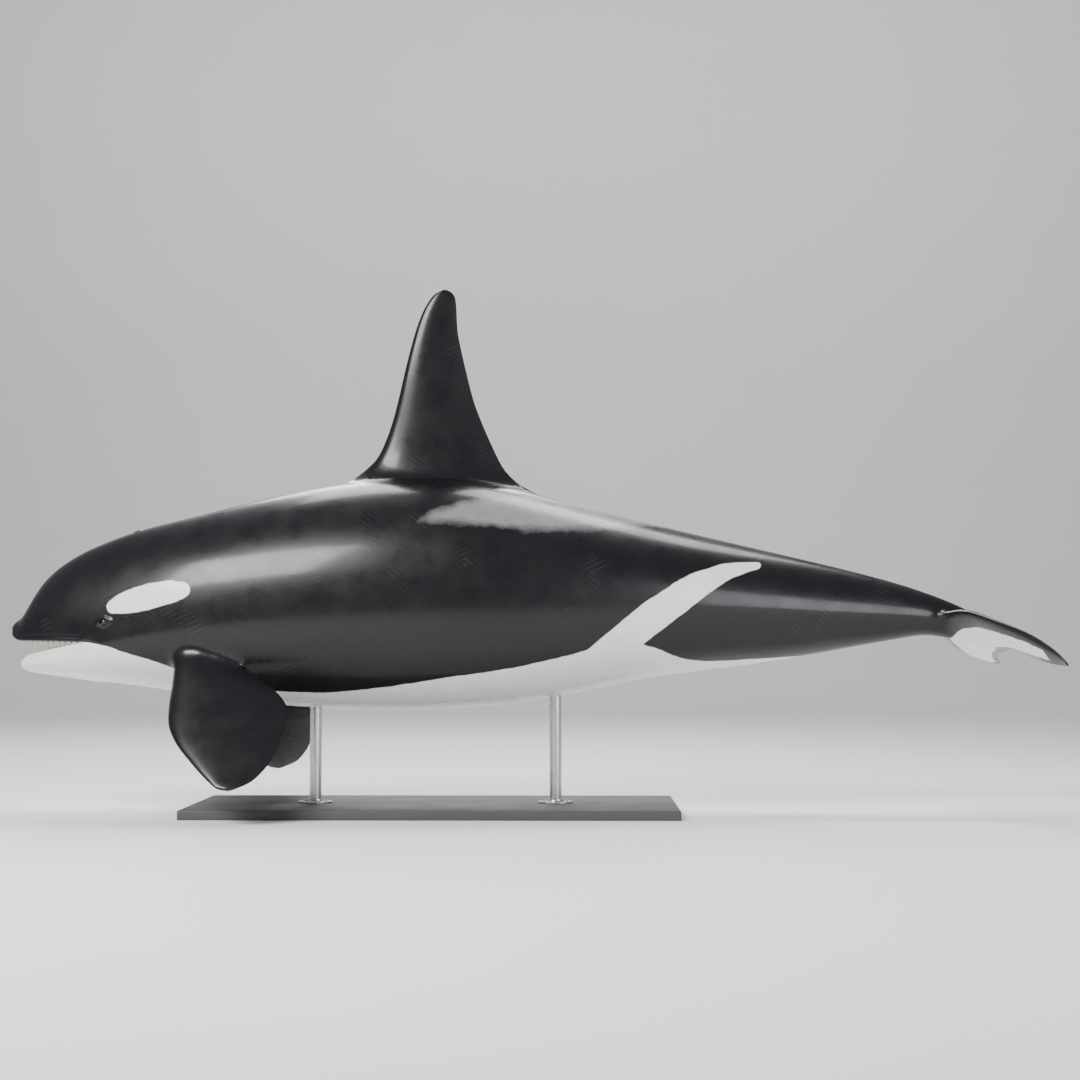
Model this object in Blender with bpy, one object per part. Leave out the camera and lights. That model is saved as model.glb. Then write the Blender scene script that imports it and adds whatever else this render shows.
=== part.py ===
import bpy
import bmesh
import math
import random
import numpy as np
from mathutils import Vector

# An adult male orca, life size, swimming with its mouth a little open, held over a flat
# base by two short rods. Metres, +Z up, the snout toward -X, the left side toward -Y.

NODE_GAP = 0.0003
CUT_GROWTH = 0.0004

# Lines of the body seen from the side: (x, z), from the snout to the flukes.
SNOUT = (-3.851, 1.352)
BACK_LINE = [
    (-3.851, 1.352), (-3.843, 1.390), (-3.817, 1.427), (-3.772, 1.456), (-3.737, 1.497),
    (-3.695, 1.592), (-3.638, 1.692), (-3.537, 1.799), (-3.429, 1.879), (-3.307, 1.951),
    (-3.155, 2.017), (-2.989, 2.081), (-2.793, 2.139), (-2.469, 2.219), (-2.084, 2.317),
    (-1.708, 2.404), (-1.329, 2.470), (-0.925, 2.506), (-0.547, 2.503), (-0.169, 2.453),
    (0.194, 2.363), (0.609, 2.255), (1.267, 2.090), (2.049, 1.907), (2.506, 1.796),
    (2.886, 1.690), (3.085, 1.621), (3.210, 1.572), (3.350, 1.508), (3.430, 1.462),
    (3.520, 1.370), (3.580, 1.305), (3.620, 1.262)]
BELLY_LINE = [
    (-3.200, 0.975), (-3.071, 0.968), (-2.767, 0.930), (-2.638, 0.908), (-2.275, 0.855),
    (-1.973, 0.815), (-1.551, 0.782), (-0.956, 0.765), (-0.693, 0.774), (-0.317, 0.793),
    (-0.017, 0.821), (0.231, 0.863), (0.506, 0.915), (0.687, 0.956), (0.928, 1.003),
    (1.330, 1.060), (2.023, 1.154), (2.455, 1.231), (2.823, 1.295), (3.027, 1.326),
    (3.250, 1.290), (3.450, 1.245), (3.580, 1.228), (3.620, 1.262)]
HALF_WIDTH = [
    (-3.851, 0.0), (-3.843, 0.062), (-3.820, 0.118), (-3.772, 0.185), (-3.700, 0.243),
    (-3.550, 0.320), (-3.350, 0.392), (-3.150, 0.452), (-2.850, 0.520), (-2.450, 0.598),
    (-2.000, 0.652), (-1.500, 0.685), (-1.000, 0.697), (-0.500, 0.688), (0.100, 0.636),
    (0.600, 0.563), (1.100, 0.470), (1.600, 0.368), (2.100, 0.268), (2.500, 0.195),
    (2.800, 0.147), (3.050, 0.115), (3.250, 0.094), (3.450, 0.068), (3.580, 0.038),
    (3.620, 0.0)]
# Height of the widest point, which in front of the mouth's corner is the upper lip.
WIDEST_HEIGHT = [
    (-3.851, 1.352), (-3.838, 1.320), (-3.804, 1.294), (-3.716, 1.282), (-3.565, 1.282),
    (-3.376, 1.281), (-3.200, 1.271), (-3.000, 1.300), (-2.700, 1.372), (-2.200, 1.452),
    (-1.500, 1.530), (-0.800, 1.570), (0.000, 1.580), (0.800, 1.580), (1.600, 1.545),
    (2.400, 1.500), (3.050, 1.465), (3.300, 1.385), (3.500, 1.310), (3.620, 1.262)]
UPPER_ROUND = [(-3.851, 1.75), (-3.600, 1.80), (-3.200, 1.92), (-2.500, 2.02),
               (-1.000, 2.05), (1.200, 1.95), (2.600, 1.75), (3.100, 1.80), (3.620, 2.0)]
LOWER_ROUND = [(-3.790, 2.0), (-3.200, 2.15), (-2.500, 2.12), (-1.000, 2.10),
               (1.200, 1.95), (2.600, 1.75), (3.100, 1.85), (3.620, 2.0)]

# The lower jaw hangs about 12 degrees open.
CORNER_X = -3.200
JAW_TIP = (-3.781, 1.110)
CHIN_LINE = [(-3.781, 1.110), (-3.765, 1.080), (-3.698, 1.047), (-3.571, 1.027),
             (-3.388, 1.002), (-3.200, 0.975)]
LOWER_LIP = [(-3.781, 1.110), (-3.771, 1.137), (-3.733, 1.160), (-3.560, 1.200),
             (-3.400, 1.234), (-3.280, 1.260), (-3.200, 1.271)]
JAW_HALF_WIDTH = [(-3.781, 0.0), (-3.774, 0.050), (-3.750, 0.098), (-3.700, 0.155),
                  (-3.600, 0.225), (-3.450, 0.305), (-3.300, 0.378), (-3.200, 0.4375)]
PALATE_RISE = 0.050
MOUTH_FLOOR_DROP = 0.040
GULLET_DEPTH = 0.060
# The roof and floor take at most these shares of their jaw's height, slope over this share
# of its half width, and fade into the corner over these shares of its length.
PALATE_LIMIT, FLOOR_LIMIT = 0.28, 0.40
MOUTH_SLOPE_SHARE = 0.45
CORNER_RUN, GULLET_RUN = 0.15, 0.35
# The jaw is parted from the head by a slanting cut from the mouth's corner to the throat.
JAW_CUT_BACK, JAW_CUT_DROP = 0.010, 0.001
THROAT_RUN, THROAT_Z = 0.330, 0.850
JAW_CUT_FRONT = [(-4.200, 0.850), (-4.200, 1.230), (-3.700, 1.225)]
# How far behind the tip of each jaw the roof and floor of the mouth begin.
UPPER_FRONT, LOWER_FRONT, FRONT_EASE = 0.045, 0.035, 0.090
# The front of each jaw is rounded: over this run the lip's edge draws toward the tip by
# this share, and the face between the edges swells out instead.
ROUND_RUN, ROUND_SHARE = 0.070, 0.70
# The lips: a roll this proud of the face, its middle this far from the edge.
LIP_ROLL, LIP_OFFSET, LIP_SPREAD = 0.006, 0.014, 0.012

# Where the body is divided across, from the head back.
HEAD_END = -2.750
CHEST_END = -1.450
MIDBODY_END = 0.450
HINDBODY_END = 1.900
TAIL_STOCK_END = 3.050
BODY_END = 3.620

UPPER_SEGMENTS = 12
LOWER_SEGMENTS = 9
MOUTH_SEGMENTS = 10
# On the head the rings crowd their points toward the lips.
LIP_CROWDING = [(-3.200, 1.6), (-2.600, 1.0)]

# Dorsal fin: leading and trailing edge, (x, z).
FIN_LEADING = [(-1.420, 2.300), (-1.350, 2.440), (-1.255, 2.525), (-1.125, 2.617),
               (-1.050, 2.750), (-0.990, 2.913), (-0.941, 3.097), (-0.894, 3.305),
               (-0.841, 3.520), (-0.776, 3.729), (-0.703, 3.870), (-0.642, 3.930),
               (-0.575, 3.952)]
FIN_TRAILING = [(0.230, 2.300), (0.095, 2.392), (-0.055, 2.480), (-0.142, 2.576),
                (-0.216, 2.723), (-0.295, 2.900), (-0.367, 3.089), (-0.421, 3.298),
                (-0.466, 3.494), (-0.494, 3.646), (-0.500, 3.800), (-0.510, 3.890),
                (-0.575, 3.952)]
FIN_THICKNESS = [(2.300, 0.400), (2.480, 0.235), (2.620, 0.165), (2.900, 0.130),
                 (3.400, 0.090), (3.800, 0.060), (3.952, 0.030)]

# Flippers: a root point, the way the span and the chord run, and the paddle's outline
# as (span, chord) in that plane. The right one is held a little further forward.
FLIPPER_ROOT = Vector((-2.250, -0.620, 1.020))
RIGHT_FLIPPER_FORWARD = 0.022
FLIPPER_SPAN = Vector((0.2452, -0.6413, -0.7271))
FLIPPER_CHORD = Vector((0.9695, 0.1622, 0.1839))
FLIPPER_LEADING = [(-0.340, -0.200), (-0.150, -0.235), (0.050, -0.275), (0.185, -0.308),
                   (0.383, -0.334), (0.521, -0.312), (0.754, -0.221), (0.949, -0.124),
                   (1.030, -0.070), (1.064, 0.020)]
FLIPPER_TRAILING = [(-0.340, 0.190), (-0.150, 0.205), (-0.040, 0.238), (0.054, 0.305),
                    (0.237, 0.440), (0.411, 0.505), (0.539, 0.487), (0.642, 0.442),
                    (0.760, 0.390), (0.881, 0.318), (0.965, 0.240), (1.030, 0.150),
                    (1.064, 0.020)]
FLIPPER_THICKNESS = [(-0.340, 0.190), (0.000, 0.165), (0.200, 0.130), (0.500, 0.090),
                     (0.850, 0.055), (1.064, 0.025)]

# Flukes: the leading and trailing edge of one lobe, as (distance from the middle, x, z).
FLUKE_LEADING = [(0.000, 3.090, 1.430), (0.120, 3.140, 1.395), (0.250, 3.215, 1.350),
                 (0.400, 3.305, 1.295), (0.600, 3.440, 1.238), (0.800, 3.590, 1.192),
                 (0.950, 3.708, 1.150), (1.060, 3.788, 1.120), (1.100, 3.823, 1.104)]
FLUKE_TRAILING = [(0.000, 3.640, 1.225), (0.060, 3.668, 1.222), (0.200, 3.690, 1.214),
                  (0.450, 3.686, 1.190), (0.700, 3.712, 1.157), (0.900, 3.766, 1.127),
                  (1.060, 3.820, 1.106), (1.100, 3.823, 1.104)]
FLUKE_THICKNESS = [(0.000, 0.150), (0.150, 0.125), (0.300, 0.095), (0.600, 0.062),
                   (0.950, 0.034), (1.100, 0.012)]
# Swimming twists the lobes: how far each leading edge rides up, by distance from the middle.
LEFT_LOBE_LIFT = [(0.000, 0.0), (0.120, 0.085), (0.250, 0.150), (0.400, 0.190),
                  (0.600, 0.180), (0.800, 0.150), (0.950, 0.100), (1.060, 0.040), (1.100, 0.0)]
RIGHT_LOBE_LIFT = [(0.000, 0.0), (0.250, -0.030), (0.600, -0.038), (0.950, -0.024),
                   (1.100, 0.0)]
TRAILING_DROP = 0.10
# A point on the cut between the lobes.
FLUKE_MIDDLE_X, FLUKE_MIDDLE_Z = 3.400, 1.300

# Eyes.
EYE_X, EYE_Z = -3.052, 1.418
EYEBALL_RADIUS = 0.034
EYE_SINK = 0.020
LID_LENGTH, LID_HEIGHT, LID_RISE = 0.064, 0.050, 0.020
EYE_OPENING_LENGTH, EYE_OPENING_HEIGHT = 0.066, 0.046

# Blowhole: a crescent slit on the crown, its horns toward the snout.
BLOWHOLE_X = -2.905
BLOWHOLE_RADIUS = 0.055
BLOWHOLE_SLIT = 0.012
BLOWHOLE_DEPTH = 0.030

# Teeth: conical pegs along both jaws.
TEETH_A_SIDE = 13
TOOTH_RADIUS = 0.0105
TOOTH_HEIGHT = 0.028
TEETH_START = 0.060
TOOTH_ROOT = 0.040
TOOTH_INSET, TOOTH_INSET_SHARE = 0.030, 0.3
TOOTH_SEAT = 0.010
TOOTH_SIDES = 6
# How far the last tooth stands from the mouth's corner, and where in its space each one
# stands, so that the two rows mesh.
LAST_UPPER, LAST_LOWER = 0.085, 0.120
UPPER_PLACE, LOWER_PLACE = 0.50, 0.15
BACK_CROWDING = 1.25
TEETH_SEED = 11

# Tongue.
TONGUE_TIP, TONGUE_END = -3.640, -3.290
TONGUE_WIDTH_SHARE, TONGUE_THICKNESS = 0.46, 0.036
TONGUE_REST = 0.004

# Display stand.
BASE_LENGTH, BASE_WIDTH, BASE_THICKNESS = 3.60, 1.50, 0.070
BASE_X = -0.650
BASE_BEVEL = 0.012
ROD_RADIUS, ROD_TOP = 0.045, 1.100
FRONT_ROD_X, REAR_ROD_X = -1.550, 0.250
COLLAR_RADIUS, COLLAR_HEIGHT = 0.130, 0.030


def smooth_line(knots):
    """A line through the knots with no overshoot between them."""
    xs = np.array([k[0] for k in knots], float)
    ys = np.array([k[1] for k in knots], float)
    h = np.diff(xs)
    slope = np.diff(ys) / h
    tangent = np.zeros(len(xs))
    tangent[0], tangent[-1] = slope[0], slope[-1]
    for i in range(1, len(xs) - 1):
        if slope[i - 1] * slope[i] > 0:
            a, b = 2 * h[i] + h[i - 1], h[i] + 2 * h[i - 1]
            tangent[i] = (a + b) / (a / slope[i - 1] + b / slope[i])

    def value(x):
        x = min(max(x, xs[0]), xs[-1])
        i = int(min(max(np.searchsorted(xs, x) - 1, 0), len(h) - 1))
        t = (x - xs[i]) / h[i]
        return ((2 * t**3 - 3 * t**2 + 1) * ys[i] + (t**3 - 2 * t**2 + t) * h[i] * tangent[i]
                + (3 * t**2 - 2 * t**3) * ys[i + 1] + (t**3 - t**2) * h[i] * tangent[i + 1])

    return value


back_z = smooth_line(BACK_LINE)
belly_z = smooth_line(BELLY_LINE)
half_width = smooth_line(HALF_WIDTH)
widest_z = smooth_line(WIDEST_HEIGHT)
upper_round = smooth_line(UPPER_ROUND)
lower_round = smooth_line(LOWER_ROUND)
chin_z = smooth_line(CHIN_LINE)
lower_lip_z = smooth_line(LOWER_LIP)
jaw_half_width = smooth_line(JAW_HALF_WIDTH)
crowding = smooth_line(LIP_CROWDING)


def ease(t):
    """From 0 to 1 with a gentle start and end."""
    t = min(max(t, 0.0), 1.0)
    return t * t * (3 - 2 * t)


def edge_draw(x, tip, line):
    """How far the lip's edge is drawn from its line toward the tip of its jaw."""
    return ROUND_SHARE * (1 - ease((x - tip[0]) / ROUND_RUN)) * (tip[1] - line(x))


def quarter(x, width, side_z, end_z, roundness, count):
    """Half of a rounded section, from the side to the middle, with the lip in front."""
    points = []
    lip = LIP_ROLL * ease((CORNER_X - x) / 0.10) * ease(width / 0.15)
    for i in range(count + 1):
        angle = math.pi / 2 * (i / count) ** crowding(x)
        y = width * max(math.cos(angle), 0.0) ** (2 / roundness)
        z = side_z + (end_z - side_z) * math.sin(angle) ** (2 / roundness)
        off = (abs(z - side_z) - LIP_OFFSET) / LIP_SPREAD
        points.append((y + lip * math.exp(-off * off) if i < count else 0.0, z))
    return points


def upper_arc(x, grow=0.0):
    """Half section above the widest height, from the side up to the back."""
    width, side, top = half_width(x) + grow, widest_z(x), back_z(x) + grow
    side += edge_draw(x, SNOUT, widest_z)
    return quarter(x, width, side, top, upper_round(x), UPPER_SEGMENTS)


def lower_arc(x, grow=0.0):
    """Half section below the widest height, from the side down to the belly or chin."""
    if x < CORNER_X:
        width, side, end = jaw_half_width(x), lower_lip_z(x), chin_z(x)
        side += edge_draw(x, JAW_TIP, lower_lip_z)
    else:
        width, side, end = half_width(x) + grow, widest_z(x), belly_z(x) - grow
    return quarter(x, width, side, end, lower_round(x), LOWER_SEGMENTS)


def whole_ring(x, grow=0.0):
    """A closed section, from the left side over the back to the right side and round."""
    up, low = upper_arc(x, grow), lower_arc(x, grow)
    ring = [(x, -y, z) for y, z in up] + [(x, y, z) for y, z in up[-2::-1]]
    ring += [(x, y, z) for y, z in low[1:]] + [(x, -y, z) for y, z in low[-2:0:-1]]
    return ring


def stations(start, end, steps):
    """Even places along the body, half a gap short of the cuts at both ends."""
    start, end = start + NODE_GAP / 2, end - NODE_GAP / 2
    return [start + (end - start) * i / steps for i in range(steps + 1)]


HEAD_PLACES = [CORNER_X] + stations(CORNER_X, HEAD_END, 10)[1:]
CHEST_PLACES = stations(HEAD_END, CHEST_END, 10)
MIDBODY_PLACES = stations(CHEST_END, MIDBODY_END, 12)
HINDBODY_PLACES = stations(MIDBODY_END, HINDBODY_END, 9)
TAIL_STOCK_PLACES = stations(HINDBODY_END, TAIL_STOCK_END, 8)


def bridge(mesh, first, second):
    """Triangles between two rings of as many vertices, mirrored left and right."""
    count = len(first)
    for i in range(count):
        j = (i + 1) % count
        a, b, c, d = first[i], first[j], second[j], second[i]
        if a.co.y + b.co.y > 0:
            mesh.faces.new((a, b, c))
            mesh.faces.new((a, c, d))
        else:
            mesh.faces.new((a, b, d))
            mesh.faces.new((b, c, d))


def fan(mesh, ring, point):
    for i in range(len(ring)):
        mesh.faces.new((ring[i], ring[(i + 1) % len(ring)], point))


def cap(mesh, ring):
    """Closes a flat end with a fan about its middle."""
    middle = sum((v.co for v in ring), Vector()) / len(ring)
    fan(mesh, ring, mesh.verts.new(middle))


def finish(name, mesh):
    """The mesh as a scene object with outward faces."""
    bmesh.ops.triangulate(mesh, faces=[f for f in mesh.faces if len(f.verts) > 4])
    bmesh.ops.recalc_face_normals(mesh, faces=mesh.faces)
    data = bpy.data.meshes.new(name)
    mesh.to_mesh(data)
    mesh.free()
    obj = bpy.data.objects.new(name, data)
    bpy.context.scene.collection.objects.link(obj)
    return obj


def trunk(name, places, grow=0.0):
    """A stretch of the body between two flat cross cuts, ringed at these places."""
    mesh = bmesh.new()
    rings = [[mesh.verts.new(p) for p in whole_ring(x, grow)] for x in places]
    for a, b in zip(rings, rings[1:]):
        bridge(mesh, a, b)
    cap(mesh, rings[0])
    cap(mesh, rings[-1])
    return finish(name, mesh)


def mouth_line(x, width, lip_z, rise, back=0.0, draw=0.0):
    """Points across the mouth from the right lip to the left, inside the lips."""
    line = []
    for i in range(1, MOUTH_SEGMENTS):
        u = 1 - 2 * i / MOUTH_SEGMENTS
        u = math.copysign(abs(u) ** 0.8, u)
        lift = ease((1 - abs(u)) / MOUTH_SLOPE_SHARE)
        z = lip_z + rise * lift + draw * (1 - math.sqrt(1 - u * u))
        line.append((x + back * (1 - u * u), u * width, z))
    return line


def head_and_jaw():
    """The head with its open mouth, from the snout to the cross cut behind the eyes."""
    mesh = bmesh.new()
    back_rings = [[mesh.verts.new(p) for p in whole_ring(x)]
                  for x in HEAD_PLACES]
    for a, b in zip(back_rings, back_rings[1:]):
        bridge(mesh, a, b)
    cap(mesh, back_rings[-1])
    corner = back_rings[0]
    upper_count = 2 * UPPER_SEGMENTS + 1
    width, lip = half_width(CORNER_X), widest_z(CORNER_X)
    gullet = [mesh.verts.new(p) for p in mouth_line(CORNER_X, width, lip, 0.0, GULLET_DEPTH)]

    # Upper jaw: each loop runs from the left lip over the top to the right lip, then
    # back across the palate.
    loop = corner[:upper_count] + gullet
    for share in (0.10, 0.22, 0.35, 0.48, 0.60, 0.70, 0.79, 0.865, 0.92, 0.955, 0.978, 0.993):
        x = CORNER_X + (SNOUT[0] - CORNER_X) * share
        up = upper_arc(x)
        points = [(x, -y, z) for y, z in up] + [(x, y, z) for y, z in up[-2::-1]]
        depth = min(PALATE_RISE * min(1, share / CORNER_RUN),
                    PALATE_LIMIT * (back_z(x) - widest_z(x)))
        depth *= ease((x - SNOUT[0] - UPPER_FRONT) / FRONT_EASE)
        points += mouth_line(x, half_width(x), widest_z(x), depth,
                             GULLET_DEPTH * max(0, 1 - share / GULLET_RUN),
                             edge_draw(x, SNOUT, widest_z))
        new = [mesh.verts.new(p) for p in points]
        bridge(mesh, loop, new)
        loop = new
    fan(mesh, loop, mesh.verts.new((SNOUT[0], 0, SNOUT[1])))

    # Lower jaw: from the right lip under the chin to the left lip, then back across.
    loop = corner[upper_count - 1:] + [corner[0]] + gullet[::-1]
    for share in (0.12, 0.26, 0.40, 0.54, 0.66, 0.77, 0.86, 0.925, 0.965, 0.988):
        x = CORNER_X + (JAW_TIP[0] - CORNER_X) * share
        low = lower_arc(x)
        points = [(x, y, z) for y, z in low] + [(x, -y, z) for y, z in low[-2::-1]]
        depth = min(MOUTH_FLOOR_DROP * min(1, share / CORNER_RUN),
                    FLOOR_LIMIT * (lower_lip_z(x) - chin_z(x)))
        depth *= ease((x - JAW_TIP[0] - LOWER_FRONT) / FRONT_EASE)
        points += mouth_line(x, jaw_half_width(x), lower_lip_z(x), -depth,
                             GULLET_DEPTH * max(0, 1 - share / GULLET_RUN),
                             edge_draw(x, JAW_TIP, lower_lip_z))[::-1]
        new = [mesh.verts.new(p) for p in points]
        bridge(mesh, loop, new)
        loop = new
    fan(mesh, loop, mesh.verts.new((JAW_TIP[0], 0, JAW_TIP[1])))
    return finish("head", mesh)


def blade(name, sections, points_a_side):
    """A fin: each section is (leading point, trailing point, thickness, thickness way)."""
    mesh = bmesh.new()
    rings = []
    for lead, trail, thick, way in sections:
        ring = []
        shares = [(1 - math.cos(math.pi * i / points_a_side)) / 2
                  for i in range(points_a_side + 1)]
        for side, order in ((1, shares), (-1, shares[-2:0:-1])):
            for s in order:
                swell = 5 * (0.2969 * math.sqrt(s) - 0.126 * s - 0.3516 * s**2
                             + 0.2843 * s**3 - 0.1036 * s**4)
                ring.append(lead.lerp(trail, s) + way * (side * swell * thick))
        rings.append([mesh.verts.new(p) for p in ring])
    for a, b in zip(rings, rings[1:]):
        count = len(a)
        for i in range(count):
            j = (i + 1) % count
            if i < points_a_side:
                mesh.faces.new((a[i], a[j], b[j]))
                mesh.faces.new((a[i], b[j], b[i]))
            else:
                mesh.faces.new((a[i], a[j], b[i]))
                mesh.faces.new((a[j], b[j], b[i]))
    cap(mesh, rings[0])
    cap(mesh, rings[-1])
    return finish(name, mesh)


def reversed_line(knots):
    """A line through (x, z) knots read the other way, x by z."""
    return smooth_line(sorted((z, x) for x, z in knots))


def dorsal_fin():
    lead, trail = reversed_line(FIN_LEADING), reversed_line(FIN_TRAILING)
    thick = smooth_line(FIN_THICKNESS)
    bottom, top = FIN_LEADING[0][1], FIN_LEADING[-1][1]
    sections = []
    for share in (0, 0.06, 0.11, 0.16, 0.21, 0.28, 0.36, 0.45, 0.54, 0.63, 0.72, 0.80,
                  0.87, 0.92, 0.955, 0.98, 0.994):
        z = bottom + (top - bottom) * share
        sections.append((Vector((lead(z), 0, z)), Vector((trail(z), 0, z)),
                         thick(z), Vector((0, 1, 0))))
    return blade("dorsal_fin", sections, 9)


def flipper(name, side):
    """side is -1 for the animal's left, 1 for its right."""
    lead, trail = smooth_line(FLIPPER_LEADING), smooth_line(FLIPPER_TRAILING)
    thick = smooth_line(FLIPPER_THICKNESS)
    start, end = FLIPPER_LEADING[0][0], FLIPPER_LEADING[-1][0]
    way = FLIPPER_SPAN.cross(FLIPPER_CHORD).normalized()
    mirror = Vector((1, -side, 1))
    sections = []
    for share in (0, 0.13, 0.22, 0.29, 0.36, 0.44, 0.52, 0.60, 0.68, 0.76, 0.83, 0.89,
                  0.935, 0.965, 0.985, 0.996):
        span = start + (end - start) * share
        base = FLIPPER_ROOT + FLIPPER_SPAN * span
        if side > 0:
            base.x -= RIGHT_FLIPPER_FORWARD
        ends = [(base + FLIPPER_CHORD * line(span)) * mirror for line in (lead, trail)]
        sections.append((ends[0], ends[1], thick(span), way * mirror))
    return blade(name, sections, 8)


def flukes():
    """Both lobes as one blade across the tail, from the left tip to the right."""
    lines = [smooth_line([(k[0], k[i]) for k in table])
             for table in (FLUKE_LEADING, FLUKE_TRAILING) for i in (1, 2)]
    thick = smooth_line(FLUKE_THICKNESS)
    tip = FLUKE_LEADING[-1][0]
    lifts = {-1: smooth_line(LEFT_LOBE_LIFT), 1: smooth_line(RIGHT_LOBE_LIFT)}
    half = [0, 0.07, 0.15, 0.25, 0.36, 0.48, 0.60, 0.72, 0.83, 0.91, 0.96, 0.99]
    shares = [-s for s in half[:0:-1]] + half
    sections = []
    for share in shares:
        y = abs(share) * tip
        lift = lifts[1 if share > 0 else -1](y)
        a = Vector((lines[0](y), share * tip, lines[1](y) + lift))
        b = Vector((lines[2](y), share * tip, lines[3](y) - TRAILING_DROP * abs(lift)))
        way = (b - a).cross(Vector((0, 1, 0))).normalized()
        sections.append((a, b, thick(y), way))
    return blade("flukes", sections, 8)


def combine(target, other, operation, solver="EXACT"):
    """Applies one Boolean to the target and takes the other object away."""
    step = target.modifiers.new("boolean", "BOOLEAN")
    step.operation, step.solver, step.object = operation, solver, other
    graph = bpy.context.evaluated_depsgraph_get()
    data = bpy.data.meshes.new_from_object(target.evaluated_get(graph))
    target.modifiers.clear()
    target.data = data
    return target


def remove(obj):
    bpy.data.objects.remove(obj, do_unlink=True)


def copy_of(obj, name):
    new = bpy.data.objects.new(name, obj.data.copy())
    bpy.context.scene.collection.objects.link(new)
    return new


def keep_largest(obj):
    """Keeps the largest closed surface and drops the crumbs of a cut."""
    mesh = bmesh.new()
    mesh.from_mesh(obj.data)
    left, groups = set(mesh.verts), []
    while left:
        group, edge = set(), [left.pop()]
        while edge:
            v = edge.pop()
            group.add(v)
            for e in v.link_edges:
                o = e.other_vert(v)
                if o in left:
                    left.remove(o)
                    edge.append(o)
        groups.append(group)
    groups.sort(key=len)
    bmesh.ops.delete(mesh, geom=[v for g in groups[:-1] for v in g], context="VERTS")
    mesh.to_mesh(obj.data)
    mesh.free()
    return obj


def prism(name, outline, half_depth):
    """A block across the animal with this (x, z) outline."""
    mesh = bmesh.new()
    rings = [[mesh.verts.new((x, y, z)) for x, z in outline] for y in (-half_depth, half_depth)]
    bridge(mesh, rings[0], rings[1])
    mesh.faces.new(rings[0])
    mesh.faces.new(rings[1])
    return finish(name, mesh)


def ball(name, radius, centre, segments, rings, scale=(1, 1, 1)):
    mesh = bmesh.new()
    bmesh.ops.create_uvsphere(mesh, u_segments=segments, v_segments=rings, radius=radius)
    bmesh.ops.scale(mesh, vec=Vector(scale), verts=mesh.verts)
    bmesh.ops.translate(mesh, vec=Vector(centre), verts=mesh.verts)
    return finish(name, mesh)


def side_y(x, z):
    """Half width of the body at this place on its side."""
    top = z >= widest_z(x)
    end, n = (back_z(x), upper_round(x)) if top else (belly_z(x), lower_round(x))
    rise = min(abs((z - widest_z(x)) / (end - widest_z(x))), 1)
    return half_width(x) * (1 - rise**n) ** (1 / n)


def side_normal(x, z):
    d = 0.01
    dx = (side_y(x + d, z) - side_y(x - d, z)) / (2 * d)
    dz = (side_y(x, z + d) - side_y(x, z - d)) / (2 * d)
    return Vector((-dx, 1, -dz)).normalized()


def turned(obj, way, centre, side):
    """Turns an object built about +Y to face `way` and sets it on one side of the animal."""
    spin = Vector((0, 1, 0)).rotation_difference(way).to_matrix().to_4x4()
    for v in obj.data.vertices:
        v.co = spin @ v.co + centre
        v.co.y *= side
    if side < 0:
        obj.data.flip_normals()
    return obj


def eye_opening(name, depth_from, depth_to):
    """The almond between the lids, as a plug along +Y."""
    mesh = bmesh.new()
    count = 14
    rings = []
    for y, spread in ((depth_from, 0.96), (depth_to, 1.12)):
        ring = []
        for i in range(count):
            a = 2 * math.pi * i / count
            ring.append(mesh.verts.new((EYE_OPENING_LENGTH / 2 * spread * math.cos(a), y,
                                        EYE_OPENING_HEIGHT / 2 * spread * math.sin(a)
                                        * (1 - 0.25 * math.cos(a) ** 4))))
        rings.append(ring)
    bridge(mesh, rings[0], rings[1])
    cap(mesh, rings[0])
    cap(mesh, rings[1])
    return finish(name, mesh)


def add_eyes(head):
    """Raises the lids on the head, opens the sockets and returns the two eyeballs."""
    centre = Vector((EYE_X, side_y(EYE_X, EYE_Z), EYE_Z))
    way = side_normal(EYE_X, EYE_Z)
    eyes = []
    for side, name in ((-1, "eye_left"), (1, "eye_right")):
        mound = turned(ball("lid", 1, (0, 0, 0), 16, 10, (LID_LENGTH, LID_RISE, LID_HEIGHT)),
                       way, centre, side)
        combine(head, mound, "UNION")
        remove(mound)
        plug = turned(eye_opening("plug", -EYE_SINK, LID_RISE + 0.03), way, centre, side)
        combine(head, plug, "DIFFERENCE")
        remove(plug)
        seat = turned(ball("seat", EYEBALL_RADIUS + NODE_GAP, (0, -EYE_SINK, 0), 18, 12),
                      way, centre, side)
        combine(head, seat, "DIFFERENCE")
        remove(seat)
        eyes.append(turned(ball(name, EYEBALL_RADIUS, (0, -EYE_SINK, 0), 18, 12),
                           way, centre, side))
    return eyes


def cut_blowhole(head):
    mesh = bmesh.new()
    z = back_z(BLOWHOLE_X)
    rings = []
    count = 10
    for i in range(count + 1):
        a = math.radians(-75 + 150 * i / count)
        slit = BLOWHOLE_SLIT * (0.25 + 0.75 * math.cos(a * 1.15)) / 2
        ring = []
        for r, h in ((-slit, 0.03), (slit, 0.03), (slit * 0.6, -BLOWHOLE_DEPTH),
                     (-slit * 0.6, -BLOWHOLE_DEPTH)):
            radius = BLOWHOLE_RADIUS + r
            ring.append(mesh.verts.new((BLOWHOLE_X - 0.03 + radius * math.cos(a),
                                        radius * math.sin(a), z + h)))
        rings.append(ring)
    for a, b in zip(rings, rings[1:]):
        bridge(mesh, a, b)
    mesh.faces.new(rings[0])
    mesh.faces.new(rings[-1])
    slit = finish("slit", mesh)
    combine(head, slit, "DIFFERENCE")
    remove(slit)


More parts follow.
